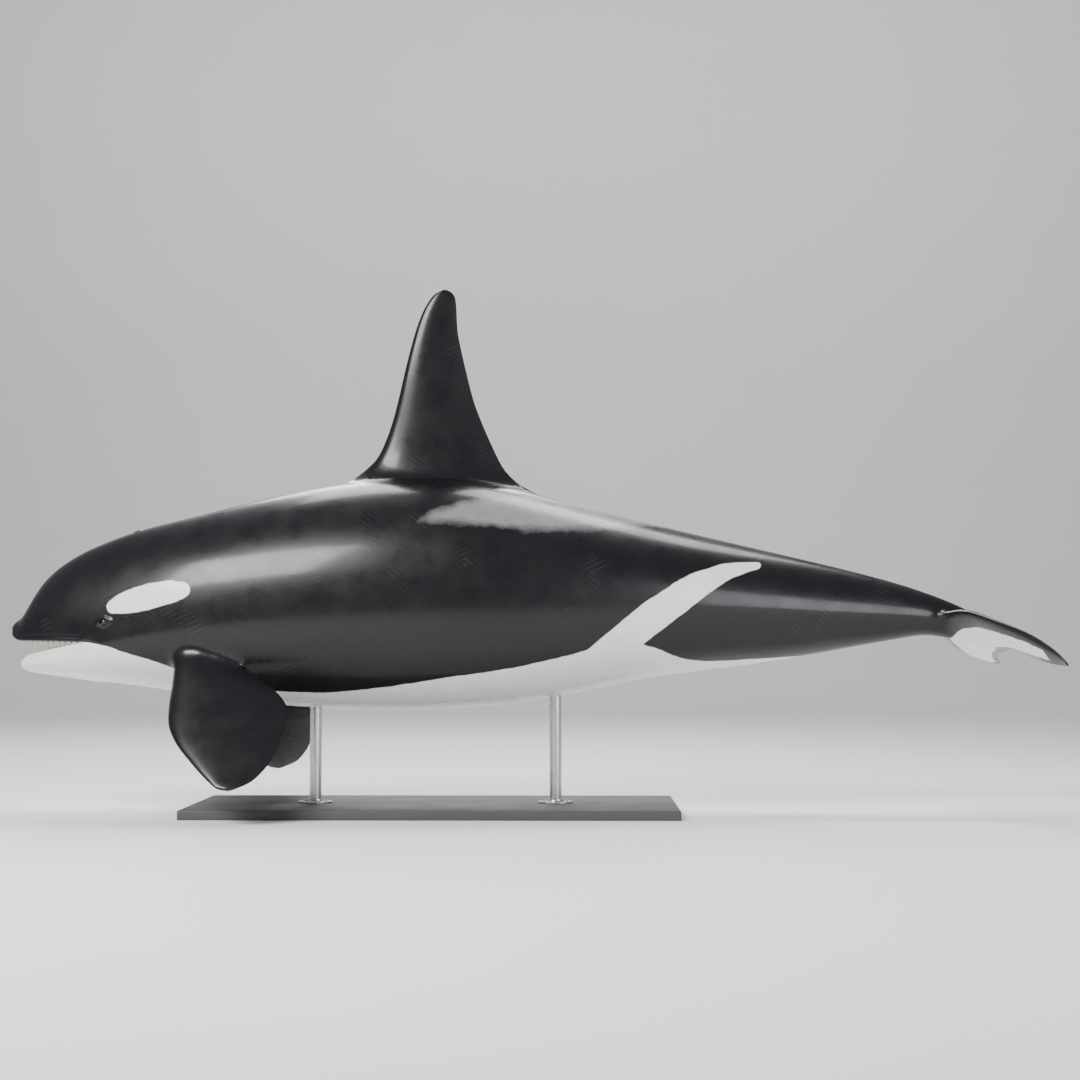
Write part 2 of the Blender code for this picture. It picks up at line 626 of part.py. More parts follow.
def tooth(mesh, place, way, lean, radius, height):
    """One peg: root ring, neck ring, shoulder ring and a blunt point."""
    side = way.cross(Vector((1, 0, 0)))
    side = side.normalized() if side.length > 0.1 else Vector((0, 1, 0))
    front = side.cross(way).normalized()
    rings = []
    for h, r in ((-TOOTH_ROOT, 1.05), (0, 1.0), (0.68, 0.62)):
        rise = h if h < 0 else h * height
        bend = lean * max(h, 0) ** 2
        ring = []
        for i in range(TOOTH_SIDES):
            a = 2 * math.pi * i / TOOTH_SIDES
            ring.append(mesh.verts.new(place + way * rise + bend
                                       + front * (r * radius * 1.2 * math.cos(a))
                                       + side * (r * radius * 0.9 * math.sin(a))))
        rings.append(ring)
    for a, b in zip(rings, rings[1:]):
        bridge(mesh, a, b)
    cap(mesh, rings[0])
    fan(mesh, rings[-1], mesh.verts.new(place + way * height + lean))


def teeth_row(name, upper):
    """Pegs of one jaw, both sides, set just inside the lip."""
    mesh = bmesh.new()
    width = half_width if upper else jaw_half_width
    lip = widest_z if upper else lower_lip_z
    tip = SNOUT[0] if upper else JAW_TIP[0]
    first, last = tip + TEETH_START, CORNER_X - (LAST_UPPER if upper else LAST_LOWER)
    rng = random.Random(TEETH_SEED + upper)
    for side in (-1, 1):
        for i in range(TEETH_A_SIDE):
            share = (i + (UPPER_PLACE if upper else LOWER_PLACE)) / TEETH_A_SIDE
            x = first + (last - first) * share ** BACK_CROWDING
            slope = (width(x + 0.004) - width(x - 0.004)) / 0.008
            inward = Vector((slope, -1, 0)).normalized()
            inward *= min(TOOTH_INSET, TOOTH_INSET_SHARE * width(x))
            small = (1 - 0.35 * abs(2 * share - 0.9) ** 2) * rng.uniform(0.94, 1.06)
            down = -1 if upper else 1
            place = Vector((x + inward.x, side * (width(x) + inward.y), 0))
            place.z = lip(place.x) - down * TOOTH_SEAT
            way = Vector((inward.x * 1.5, side * inward.y * 1.5, down)).normalized()
            tooth(mesh, place, way, Vector((0.007, -side * 0.003, 0)),
                  TOOTH_RADIUS * small, (TOOTH_HEIGHT + TOOTH_SEAT) * small)
    return finish(name, mesh)


def tongue():
    """A low rounded tongue lying on the floor of the mouth."""
    mesh = bmesh.new()
    rings = []
    count = 14
    for share in (0.02, 0.10, 0.25, 0.45, 0.70, 0.90, 0.99):
        x = TONGUE_TIP + (TONGUE_END - TONGUE_TIP) * share
        swell = math.sqrt(max(1 - abs(2 * share - 1) ** 3, 0.0))
        w = TONGUE_WIDTH_SHARE * jaw_half_width(x) * swell
        h = TONGUE_THICKNESS / 2 * swell
        near_corner = min(1, (CORNER_X - x) / (CORNER_X - JAW_TIP[0]) / CORNER_RUN)
        z = lower_lip_z(x) - MOUTH_FLOOR_DROP * near_corner + h + TONGUE_REST
        rings.append([mesh.verts.new((x, w * math.cos(2 * math.pi * i / count),
                                      z + h * math.sin(2 * math.pi * i / count)))
                      for i in range(count)])
    for a, b in zip(rings, rings[1:]):
        bridge(mesh, a, b)
    cap(mesh, rings[0])
    cap(mesh, rings[-1])
    return finish("tongue", mesh)


def cylinder(name, radius, x, bottom, top, segments=32):
    mesh = bmesh.new()
    rings = [[mesh.verts.new((x + radius * math.cos(2 * math.pi * i / segments),
                              radius * math.sin(2 * math.pi * i / segments), z))
              for i in range(segments)] for z in (bottom, top)]
    bridge(mesh, rings[0], rings[1])
    cap(mesh, rings[0])
    cap(mesh, rings[1])
    return finish(name, mesh)


def material(obj, name, colour, roughness, metallic=0.0):
    made = bpy.data.materials.new(name)
    made.use_nodes = True
    shader = made.node_tree.nodes["Principled BSDF"]
    shader.inputs["Base Color"].default_value = (*colour, 1)
    shader.inputs["Roughness"].default_value = roughness
    shader.inputs["Metallic"].default_value = metallic
    obj.data.materials.clear()
    obj.data.materials.append(made)


def centre_on_origin(objects):
    """Slides the whole along X so that the origin lies under the middle of its box."""
    places = [v.co.x for obj in objects for v in obj.data.vertices]
    shift = -(min(places) + max(places)) / 2
    for obj in objects:
        for v in obj.data.vertices:
            v.co.x += shift


def build():
    for obj in list(bpy.data.objects):
        bpy.data.objects.remove(obj, do_unlink=True)
    nodes = {}
    half = NODE_GAP / 2

    whole = head_and_jaw()
    nodes["eye_left"], nodes["eye_right"] = add_eyes(whole)
    cut_blowhole(whole)
    hinge = (CORNER_X - JAW_CUT_BACK, widest_z(CORNER_X) - JAW_CUT_DROP)
    outline = [hinge, (CORNER_X + THROAT_RUN, THROAT_Z)] + JAW_CUT_FRONT
    below = prism("below", outline, 1.0)
    jaw = copy_of(whole, "lower_jaw")
    combine(jaw, below, "INTERSECT")
    shifted = [(x + NODE_GAP * 1.2 if i == 1 else x + (NODE_GAP if i == 0 else 0),
                z + (NODE_GAP * 0.5 if i == 0 else 0)) for i, (x, z) in enumerate(outline)]
    wider = prism("wider", shifted, 1.0)
    combine(whole, wider, "DIFFERENCE")
    remove(below)
    remove(wider)
    nodes["head"], nodes["lower_jaw"] = whole, jaw

    upper_teeth = teeth_row("upper_teeth", True)
    combine(whole, upper_teeth, "UNION")
    remove(upper_teeth)
    lower_teeth = teeth_row("lower_teeth", False)
    combine(jaw, lower_teeth, "UNION")
    remove(lower_teeth)
    nodes["tongue"] = tongue()

    nodes["chest"] = trunk("chest", CHEST_PLACES)
    nodes["midbody"] = trunk("midbody", MIDBODY_PLACES)
    nodes["hindbody"] = trunk("hindbody", HINDBODY_PLACES)
    nodes["tail_stock"] = trunk("tail_stock", TAIL_STOCK_PLACES)

    fin = dorsal_fin()
    mid_cut = trunk("mid_cut", CHEST_PLACES + MIDBODY_PLACES + HINDBODY_PLACES, CUT_GROWTH)
    combine(fin, mid_cut, "DIFFERENCE")
    nodes["dorsal_fin"] = keep_largest(fin)

    chest_cut = trunk("chest_cut", HEAD_PLACES + CHEST_PLACES + MIDBODY_PLACES, CUT_GROWTH)
    for side, name in ((-1, "flipper_left"), (1, "flipper_right")):
        paddle = flipper(name, side)
        combine(paddle, chest_cut, "DIFFERENCE")
        nodes[name] = keep_largest(paddle)
    remove(chest_cut)

    tail_end = trunk("tail_end", stations(TAIL_STOCK_END, BODY_END - 0.004, 8))
    lobes = flukes()
    combine(lobes, tail_end, "UNION", "MANIFOLD")
    remove(tail_end)
    for side, name in ((-1, "fluke_left"), (1, "fluke_right")):
        piece = copy_of(lobes, name)
        mesh = bmesh.new()
        bmesh.ops.create_cube(mesh, size=2.0)
        bmesh.ops.translate(mesh, vec=(FLUKE_MIDDLE_X, side * (1 + half), FLUKE_MIDDLE_Z),
                            verts=mesh.verts)
        room = finish("room", mesh)
        combine(piece, room, "INTERSECT", "MANIFOLD")
        remove(room)
        nodes[name] = keep_largest(piece)
    remove(lobes)

    mesh = bmesh.new()
    bmesh.ops.create_cube(mesh, size=1.0)
    bmesh.ops.scale(mesh, vec=(BASE_LENGTH, BASE_WIDTH, BASE_THICKNESS), verts=mesh.verts)
    bmesh.ops.translate(mesh, vec=(BASE_X, 0, BASE_THICKNESS / 2), verts=mesh.verts)
    rim = [e for e in mesh.edges if e.verts[0].co.z > 0.01 and e.verts[1].co.z > 0.01]
    bmesh.ops.bevel(mesh, geom=rim, offset=BASE_BEVEL, segments=2, profile=0.5, affect="EDGES")
    nodes["stand_base"] = finish("stand_base", mesh)
    for x, name in ((FRONT_ROD_X, "front"), (REAR_ROD_X, "rear")):
        rod = cylinder("stand_rod_" + name, ROD_RADIUS, x, BASE_THICKNESS + NODE_GAP, ROD_TOP)
        combine(rod, mid_cut, "DIFFERENCE")
        nodes["stand_rod_" + name] = keep_largest(rod)
        ring = cylinder("stand_collar_" + name, COLLAR_RADIUS, x, BASE_THICKNESS + NODE_GAP,
                        BASE_THICKNESS + COLLAR_HEIGHT)
        hole = cylinder("hole", ROD_RADIUS + NODE_GAP, x, 0, 1)
        combine(ring, hole, "DIFFERENCE")
        remove(hole)
        nodes["stand_collar_" + name] = ring
    remove(mid_cut)

    centre_on_origin(nodes.values())
    skin = (0.012, 0.013, 0.016)
    for name, obj in nodes.items():
        obj.name = name
        if name.startswith("eye"):
            material(obj, name, (0.02, 0.012, 0.008), 0.08)
        elif name == "tongue":
            material(obj, name, (0.42, 0.16, 0.15), 0.35)
        elif name == "stand_base":
            material(obj, name, (0.30, 0.31, 0.32), 0.45)
        elif name.startswith("stand"):
            material(obj, name, (0.55, 0.56, 0.57), 0.25, 1.0)
        else:
            material(obj, name, skin, 0.30)
        for face in obj.data.polygons:
            face.use_smooth = not name.startswith("stand_base")


build()
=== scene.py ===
import math
import random
import bpy
import bmesh
import numpy as np
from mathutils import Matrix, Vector
from mathutils.kdtree import KDTree


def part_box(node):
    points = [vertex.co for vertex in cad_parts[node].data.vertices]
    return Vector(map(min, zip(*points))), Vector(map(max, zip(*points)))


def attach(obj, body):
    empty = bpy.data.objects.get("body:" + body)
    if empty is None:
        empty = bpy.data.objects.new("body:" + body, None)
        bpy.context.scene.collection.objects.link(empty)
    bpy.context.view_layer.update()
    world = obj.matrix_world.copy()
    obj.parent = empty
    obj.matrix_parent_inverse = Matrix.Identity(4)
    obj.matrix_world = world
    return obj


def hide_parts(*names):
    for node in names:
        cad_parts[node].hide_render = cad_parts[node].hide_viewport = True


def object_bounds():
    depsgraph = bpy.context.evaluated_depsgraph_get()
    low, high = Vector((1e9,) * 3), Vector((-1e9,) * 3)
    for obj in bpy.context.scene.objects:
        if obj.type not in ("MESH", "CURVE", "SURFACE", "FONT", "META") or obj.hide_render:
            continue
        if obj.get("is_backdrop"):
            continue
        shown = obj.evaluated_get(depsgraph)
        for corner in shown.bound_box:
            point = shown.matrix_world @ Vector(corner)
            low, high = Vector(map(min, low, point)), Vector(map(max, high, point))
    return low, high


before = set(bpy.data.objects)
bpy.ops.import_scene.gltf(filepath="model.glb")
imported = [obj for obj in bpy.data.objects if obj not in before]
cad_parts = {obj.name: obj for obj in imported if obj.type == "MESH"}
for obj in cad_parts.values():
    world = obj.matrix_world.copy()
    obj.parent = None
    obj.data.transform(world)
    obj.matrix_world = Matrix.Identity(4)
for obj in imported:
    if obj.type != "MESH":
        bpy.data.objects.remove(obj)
cad_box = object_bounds()

# Display base: a flat plate 70 mm thick under the middle of the animal. It is cut to
# size, all its edges are rounded over, and it is sprayed a fine matt charcoal.
BASE_LENGTH, BASE_WIDTH, BASE_THICKNESS = 3.60, 1.50, 0.070
BASE_X = -0.650
BASE_ROUNDING = 0.010
BASE_COLOUR = (0.055, 0.058, 0.062, 1)
# The solids are centred on their own box, and every shape here moves along with them.
low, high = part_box("stand_base")
SHIFT = (low[0] + high[0]) / 2 - BASE_X


def new_finish(name, colour, roughness):
    """A material with its shader, ready for detail."""
    finish = bpy.data.materials.new(name)
    finish.use_nodes = True
    shader = finish.node_tree.nodes["Principled BSDF"]
    shader.inputs["Base Color"].default_value = colour
    shader.inputs["Roughness"].default_value = roughness
    return finish, finish.node_tree, shader


def add_node(tree, kind, **values):
    """A shader node with its inputs set by name, or linked when given a socket."""
    node = tree.nodes.new(kind)
    for name, value in values.items():
        socket = node.inputs[name.replace("_", " ")]
        if isinstance(value, bpy.types.NodeSocket):
            tree.links.new(value, socket)
        else:
            socket.default_value = value
    return node


def scaled_place(tree, stretch):
    """The point on the piece in metres, stretched for a pattern."""
    place = add_node(tree, "ShaderNodeTexCoord")
    mapping = add_node(tree, "ShaderNodeMapping", Scale=stretch)
    tree.links.new(place.outputs["Object"], mapping.inputs["Vector"])
    return mapping.outputs["Vector"]


def grain(tree, place, scale, detail=4.0, roughness=0.55):
    """Noise over the piece, from 0 to 1."""
    noise = add_node(tree, "ShaderNodeTexNoise", Vector=place, Scale=scale,
                     Detail=detail, Roughness=roughness)
    return noise.outputs[0]


def spread(tree, value, from_low, from_high, to_low, to_high):
    """One range of values turned into another."""
    node = add_node(tree, "ShaderNodeMapRange", Value=value, From_Min=from_low,
                    From_Max=from_high, To_Min=to_low, To_Max=to_high)
    return node.outputs["Result"]


def blend_colours(tree, share, first, second):
    """Two colours mixed by a share from 0 to 1."""
    node = tree.nodes.new("ShaderNodeMix")
    node.data_type = "RGBA"
    for index, value in ((0, share), (6, first), (7, second)):
        if isinstance(value, bpy.types.NodeSocket):
            tree.links.new(value, node.inputs[index])
        else:
            node.inputs[index].default_value = value
    return node.outputs[2]


def dress(tree, shader, colour, roughness):
    """Leads a pattern's colour and roughness into the shader."""
    tree.links.new(colour, shader.inputs["Base Color"])
    tree.links.new(roughness, shader.inputs["Roughness"])


def raise_surface(tree, shader, height, strength, distance):
    """Fine relief from a height, on the shader's normal."""
    bump = add_node(tree, "ShaderNodeBump", Height=height, Strength=strength,
                    Distance=distance)
    tree.links.new(bump.outputs["Normal"], shader.inputs["Normal"])


def put_in_scene(name, mesh, finish=None, smooth=True):
    """The finished mesh as a piece that lies where its points are."""
    data = bpy.data.meshes.new(name)
    mesh.to_mesh(data)
    mesh.free()
    data.shade_flat()
    if smooth:
        data.shade_smooth()
    piece = bpy.data.objects.new(name, data)
    bpy.context.scene.collection.objects.link(piece)
    if finish:
        data.materials.append(finish)
    return piece


charcoal, tree, shader = new_finish("charcoal_coat", BASE_COLOUR, 0.62)
place = scaled_place(tree, (1, 1, 1))
orange_peel = grain(tree, place, 420.0, 2.0)
clouds = grain(tree, place, 3.0, 5.0)
shade = blend_colours(tree, clouds, (0.046, 0.049, 0.053, 1), (0.068, 0.071, 0.075, 1))
dress(tree, shader, shade, spread(tree, clouds, 0.3, 0.7, 0.56, 0.70))
raise_surface(tree, shader, orange_peel, 0.25, 0.0006)

plate = bmesh.new()
bmesh.ops.create_cube(plate, size=1.0)
bmesh.ops.scale(plate, vec=(BASE_LENGTH, BASE_WIDTH, BASE_THICKNESS), verts=plate.verts)
bmesh.ops.translate(plate, vec=(BASE_X + SHIFT, 0, BASE_THICKNESS / 2), verts=plate.verts)
bmesh.ops.bevel(plate, geom=plate.edges, offset=BASE_ROUNDING, segments=5, profile=0.5,
                affect="EDGES")
base_piece = put_in_scene("display_base", plate, charcoal, smooth=False)
base_piece.data.set_sharp_from_angle(angle=math.radians(35))
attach(base_piece, "root")
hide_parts("stand_base")

# Collars and rods: two solid steel rods 90 mm thick, turned and brushed, stand in flanged
# collars that are screwed to the base, and run up into sockets in the belly.
ROD_RADIUS = 0.045
FRONT_ROD_X, REAR_ROD_X = -1.550, 0.250
COLLAR_RADIUS, COLLAR_HEIGHT = 0.130, 0.030
SCREW_CIRCLE, SCREW_RADIUS, SCREWS = 0.095, 0.011, 6


def turned(name, profile, centre, finish, segments=96):
    """A lathe-turned piece from (radius, height) points, closed at both ends."""
    mesh = bmesh.new()
    rings = []
    for radius, height in profile:
        ring = []
        for i in range(segments):
            a = 2 * math.pi * i / segments
            ring.append(mesh.verts.new((centre + radius * math.cos(a),
                                        radius * math.sin(a), height)))
        rings.append(ring)
    for lower, upper in zip(rings, rings[1:]):
        for i in range(segments):
            j = (i + 1) % segments
            mesh.faces.new((lower[i], lower[j], upper[j], upper[i]))
    mesh.faces.new(rings[0][::-1])
    mesh.faces.new(rings[-1])
    bmesh.ops.recalc_face_normals(mesh, faces=mesh.faces)
    piece = put_in_scene(name, mesh, finish)
    piece.data.set_sharp_from_angle(angle=math.radians(35))
    return piece


steel, tree, shader = new_finish("brushed_steel", (0.56, 0.57, 0.58, 1), 0.3)
shader.inputs["Metallic"].default_value = 1.0
rings_round = grain(tree, scaled_place(tree, (1, 1, 260)), 4.0, 3.0)
smudges = grain(tree, scaled_place(tree, (1, 1, 1)), 14.0, 4.0)
shade = blend_colours(tree, smudges, (0.50, 0.51, 0.52, 1), (0.62, 0.62, 0.63, 1))
dress(tree, shader, shade, spread(tree, smudges, 0.3, 0.7, 0.24, 0.36))
raise_surface(tree, shader, rings_round, 0.2, 0.0003)


def new_maker(name, sizes):
    """An empty tree with named inputs for its points, sizes, seed and finish."""
    tree = bpy.data.node_groups.new(name, "GeometryNodeTree")
    kinds = [("Geometry", "Geometry")] + [(size, "Float") for size in sizes]
    for label, kind in kinds + [("Seed", "Int"), ("Finish", "Material")]:
        tree.interface.new_socket(label, in_out="INPUT", socket_type="NodeSocket" + kind)
    tree.interface.new_socket("Geometry", in_out="OUTPUT", socket_type="NodeSocketGeometry")
    return tree, tree.nodes.new("NodeGroupInput").outputs


def chance(tree, seed, most):
    """A random number from 0 to `most` for each point."""
    node = tree.nodes.new("FunctionNodeRandomValue")
    node.data_type = "FLOAT"
    least_in, most_in = [s for s in node.inputs if s.type == "VALUE"][:2]
    least_in.default_value, most_in.default_value = 0.0, most
    tree.links.new(seed, [s for s in node.inputs if s.name == "Seed"][0])
    return [s for s in node.outputs if s.type == "VALUE" and s.enabled][0]


def set_on_points(tree, inp, shape, turn, **more):
    """Puts the shape on each point, makes the copies real and gives them their finish."""
    placed = add_node(tree, "GeometryNodeInstanceOnPoints", Points=inp["Geometry"],
                      Instance=shape, Rotation=turn, **more)
    real = add_node(tree, "GeometryNodeRealizeInstances", Geometry=placed.outputs[0])
    dressed = add_node(tree, "GeometryNodeSetMaterial", Geometry=real.outputs[0],
                       Material=inp["Finish"])
    tree.links.new(dressed.outputs[0], tree.nodes.new("NodeGroupOutput").inputs[0])


def screw_tree():
    """Socket screws set on a circle of points, each turned by chance."""
    tree, inp = new_maker("collar_screws", ("Head radius", "Head height", "Socket width"))
    head = add_node(tree, "GeometryNodeMeshCylinder", Vertices=32, Radius=inp["Head radius"],
                    Depth=inp["Head height"])
    socket = add_node(tree, "GeometryNodeMeshCylinder", Vertices=6,
                      Radius=inp["Socket width"], Depth=inp["Head height"])
    lift = add_node(tree, "ShaderNodeCombineXYZ", Z=inp["Head height"])
    half = add_node(tree, "ShaderNodeVectorMath", Vector=lift.outputs[0])
    half.operation = "SCALE"
    half.inputs["Scale"].default_value = 0.5
    raised = add_node(tree, "GeometryNodeTransform", Geometry=socket.outputs["Mesh"],
                      Translation=half.outputs[0])
    cut = tree.nodes.new("GeometryNodeMeshBoolean")
    cut.operation = "DIFFERENCE"
    tree.links.new(head.outputs["Mesh"], cut.inputs[0])
    tree.links.new(raised.outputs["Geometry"], cut.inputs[1])
    turn = add_node(tree, "ShaderNodeCombineXYZ", Z=chance(tree, inp["Seed"], 6.28))
    set_on_points(tree, inp, cut.outputs["Mesh"], turn.outputs[0])
    return tree


def grown_from_points(name, points, tree, settings, attributes=()):
    """Runs a tree on a cloud of points and keeps its result as a plain mesh."""
    data = bpy.data.meshes.new(name)
    data.from_pydata(points, [], [])
    for label, kind, values in attributes:
        layer = data.attributes.new(label, kind, "POINT")
        layer.data.foreach_set("vector" if kind == "FLOAT_VECTOR" else "value",
                               np.ravel(np.array(values, float)))
    piece = bpy.data.objects.new(name, data)
    bpy.context.scene.collection.objects.link(piece)
    step = piece.modifiers.new("made", "NODES")
    step.node_group = tree
    for item in tree.interface.items_tree:
        if item.in_out == "INPUT" and item.name in settings:
            step[item.identifier] = settings[item.name]
    graph = bpy.context.evaluated_depsgraph_get()
    plain = bpy.data.meshes.new_from_object(piece.evaluated_get(graph))
    piece.modifiers.clear()
    piece.data = plain
    return piece


screws = screw_tree()
for end, rod_x in (("front", FRONT_ROD_X), ("rear", REAR_ROD_X)):
    centre = rod_x + SHIFT
    bottom = BASE_THICKNESS
    top = bottom + COLLAR_HEIGHT
    collar = turned("collar_" + end, [
        (COLLAR_RADIUS - 0.002, bottom), (COLLAR_RADIUS, bottom + 0.002),
        (COLLAR_RADIUS, bottom + 0.010), (COLLAR_RADIUS - 0.002, bottom + 0.012),
        (0.074, bottom + 0.0125), (0.067, bottom + 0.015), (0.064, bottom + 0.019),
        (0.063, top - 0.002), (0.061, top), (ROD_RADIUS + 0.0004, top),
        (ROD_RADIUS + 0.0004, top - 0.01)], centre, steel)
    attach(collar, "root")
    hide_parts("stand_collar_" + end)
    rod_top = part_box("stand_rod_" + end)[1][2]
    rod = turned("rod_" + end, [
        (ROD_RADIUS - 0.001, bottom + 0.0005), (ROD_RADIUS, bottom + 0.0015),
        (ROD_RADIUS, rod_top + 0.012), (ROD_RADIUS - 0.002, rod_top + 0.014)], centre, steel)
    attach(rod, "root")
    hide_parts("stand_rod_" + end)
    spots = [(centre + SCREW_CIRCLE * math.cos(math.tau * (i + 0.5) / SCREWS),
              SCREW_CIRCLE * math.sin(math.tau * (i + 0.5) / SCREWS), bottom + 0.0145)
             for i in range(SCREWS)]
    heads = grown_from_points("collar_screws_" + end, spots, screws, {
        "Head radius": SCREW_RADIUS, "Head height": 0.009, "Socket width": 0.0058,
        "Seed": 3, "Finish": steel})
    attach(heads, "root")

# Skin: one closed hide over head, trunk, fins and flukes, black above and white below,
# smooth and wet-looking as on the living animal. It grows in one piece with every fin.
SNOUT = (-3.851, 1.352)
BACK_LINE = [
    (-3.851, 1.352), (-3.843, 1.39), (-3.817, 1.427), (-3.772, 1.456), (-3.737, 1.497),
    (-3.695, 1.592), (-3.638, 1.692), (-3.537, 1.799), (-3.429, 1.879), (-3.307, 1.951),
    (-3.155, 2.017), (-2.989, 2.081), (-2.793, 2.139), (-2.469, 2.219), (-2.084, 2.317),
    (-1.708, 2.404), (-1.329, 2.47), (-0.925, 2.506), (-0.547, 2.503), (-0.169, 2.453),
    (0.194, 2.363), (0.609, 2.255), (1.267, 2.09), (2.049, 1.907), (2.506, 1.796), (2.886, 1.69),
    (3.085, 1.621), (3.21, 1.572), (3.35, 1.508), (3.43, 1.462), (3.52, 1.37), (3.58, 1.305),
    (3.62, 1.262)]
BELLY_LINE = [
    (-3.2, 0.975), (-3.071, 0.968), (-2.767, 0.93), (-2.638, 0.908), (-2.275, 0.855),
    (-1.973, 0.815), (-1.551, 0.782), (-0.956, 0.765), (-0.693, 0.774), (-0.317, 0.793),
    (-0.017, 0.821), (0.231, 0.863), (0.506, 0.915), (0.687, 0.956), (0.928, 1.003), (1.33, 1.06),
    (2.023, 1.154), (2.455, 1.231), (2.823, 1.295), (3.027, 1.326), (3.25, 1.29), (3.45, 1.245),
    (3.58, 1.228), (3.62, 1.262)]
HALF_WIDTH = [
    (-3.851, 0.0), (-3.843, 0.062), (-3.82, 0.118), (-3.772, 0.185), (-3.7, 0.243), (-3.55, 0.32),
    (-3.35, 0.392), (-3.15, 0.452), (-2.85, 0.52), (-2.45, 0.598), (-2.0, 0.652), (-1.5, 0.685),
    (-1.0, 0.697), (-0.5, 0.688), (0.1, 0.636), (0.6, 0.563), (1.1, 0.47), (1.6, 0.368),
    (2.1, 0.268), (2.5, 0.195), (2.8, 0.147), (3.05, 0.115), (3.25, 0.094), (3.45, 0.068),
    (3.58, 0.038), (3.62, 0.0)]
WIDEST_HEIGHT = [
    (-3.851, 1.352), (-3.838, 1.32), (-3.804, 1.294), (-3.716, 1.282), (-3.565, 1.282),
    (-3.376, 1.281), (-3.2, 1.271), (-3.0, 1.3), (-2.7, 1.372), (-2.2, 1.452), (-1.5, 1.53),
    (-0.8, 1.57), (0.0, 1.58), (0.8, 1.58), (1.6, 1.545), (2.4, 1.5), (3.05, 1.465), (3.3, 1.385),
    (3.5, 1.31), (3.62, 1.262)]
UPPER_ROUND = [
    (-3.851, 1.75), (-3.6, 1.8), (-3.2, 1.92), (-2.5, 2.02), (-1.0, 2.05), (1.2, 1.95),
    (2.6, 1.75), (3.1, 1.8), (3.62, 2.0)]
LOWER_ROUND = [
    (-3.79, 2.0), (-3.2, 2.15), (-2.5, 2.12), (-1.0, 2.1), (1.2, 1.95), (2.6, 1.75), (3.1, 1.85),
    (3.62, 2.0)]
CORNER_X = -3.200
JAW_TIP = (-3.781, 1.110)
CHIN_LINE = [
    (-3.781, 1.11), (-3.765, 1.08), (-3.698, 1.047), (-3.571, 1.027), (-3.388, 1.002),
    (-3.2, 0.975)]
LOWER_LIP = [
    (-3.781, 1.11), (-3.771, 1.137), (-3.733, 1.16), (-3.56, 1.2), (-3.4, 1.234), (-3.28, 1.26),
    (-3.2, 1.271)]
JAW_HALF_WIDTH = [
    (-3.781, 0.0), (-3.774, 0.05), (-3.75, 0.098), (-3.7, 0.155), (-3.6, 0.225), (-3.45, 0.305),
    (-3.3, 0.378), (-3.2, 0.4375)]
PALATE_RISE, MOUTH_FLOOR_DROP, GULLET_DEPTH = 0.050, 0.040, 0.060
# They take at most this share of the height of their jaw.
PALATE_LIMIT, FLOOR_LIMIT = 0.28, 0.40
# The roof and floor of the mouth start this far behind the tips of the jaws.
UPPER_FRONT, LOWER_FRONT, FRONT_EASE = 0.045, 0.035, 0.090
LIP_EDGE, GUM_FRONT = 0.010, 0.060
# The front of each jaw is rounded: its lip edge draws toward the tip over this run.
ROUND_RUN, ROUND_SHARE = 0.090, 0.80
BODY_END = 3.620
UPPER_SEGMENTS, LOWER_SEGMENTS, MOUTH_SEGMENTS = 56, 40, 44


def smooth_line(knots, softness):
    """A line through the knots with no overshoot, its bends eased over `softness`."""
    xs = np.array([k[0] for k in knots], float)
    ys = np.array([k[1] for k in knots], float)
    h = np.diff(xs)
    slope = np.diff(ys) / h
    tangent = np.zeros(len(xs))
    tangent[0], tangent[-1] = slope[0], slope[-1]
    for i in range(1, len(xs) - 1):
        if slope[i - 1] * slope[i] > 0:
            a, b = 2 * h[i] + h[i - 1], h[i] + 2 * h[i - 1]
            tangent[i] = (a + b) / (a / slope[i - 1] + b / slope[i])

    def exact(x):
        x = np.clip(x, xs[0], xs[-1])
        i = np.clip(np.searchsorted(xs, x) - 1, 0, len(h) - 1)
        t = (x - xs[i]) / h[i]
        return ((2 * t**3 - 3 * t**2 + 1) * ys[i] + (t**3 - 2 * t**2 + t) * h[i] * tangent[i]
                + (3 * t**2 - 2 * t**3) * ys[i + 1] + (t**3 - t**2) * h[i] * tangent[i + 1])

    grid = np.linspace(xs[0], xs[-1], 1400)
    fine = exact(grid)
    reach = np.minimum(softness, 0.3 * np.minimum(grid - xs[0], xs[-1] - grid)) + 1e-4
    weight = np.exp(-0.5 * ((grid[:, None] - grid[None, :]) / reach[:, None]) ** 2)
    soft = weight @ fine / weight.sum(axis=1)
    return lambda x: np.interp(x, grid, soft)


back_z = smooth_line(BACK_LINE, 0.05)
belly_z = smooth_line(BELLY_LINE, 0.06)
half_width = smooth_line(HALF_WIDTH, 0.08)
widest_z = smooth_line(WIDEST_HEIGHT, 0.08)
upper_round = smooth_line(UPPER_ROUND, 0.20)
lower_round = smooth_line(LOWER_ROUND, 0.20)
chin_z = smooth_line(CHIN_LINE, 0.03)
lower_lip_z = smooth_line(LOWER_LIP, 0.02)
jaw_half_width = smooth_line(JAW_HALF_WIDTH, 0.03)


def quarter(width, side_z, end_z, roundness, count, crowd):
    """Points of a rounded quarter section from the side to the midline, as (y, z)."""
    angle = math.pi / 2 * (np.arange(count + 1) / count) ** crowd
    y = width * np.maximum(np.cos(angle), 0.0) ** (2 / roundness)
    z = side_z + (end_z - side_z) * np.sin(angle) ** (2 / roundness)
    y[-1] = 0.0
    return list(zip(y, z))


def crowding(x):
    """Rings crowd their points toward the lips on the head, and not on the trunk."""
    return float(np.interp(x, [-3.2, -2.6], [1.30, 1.0]))


def smooth_step(t):
    t = np.clip(t, 0.0, 1.0)
    return t * t * (3 - 2 * t)


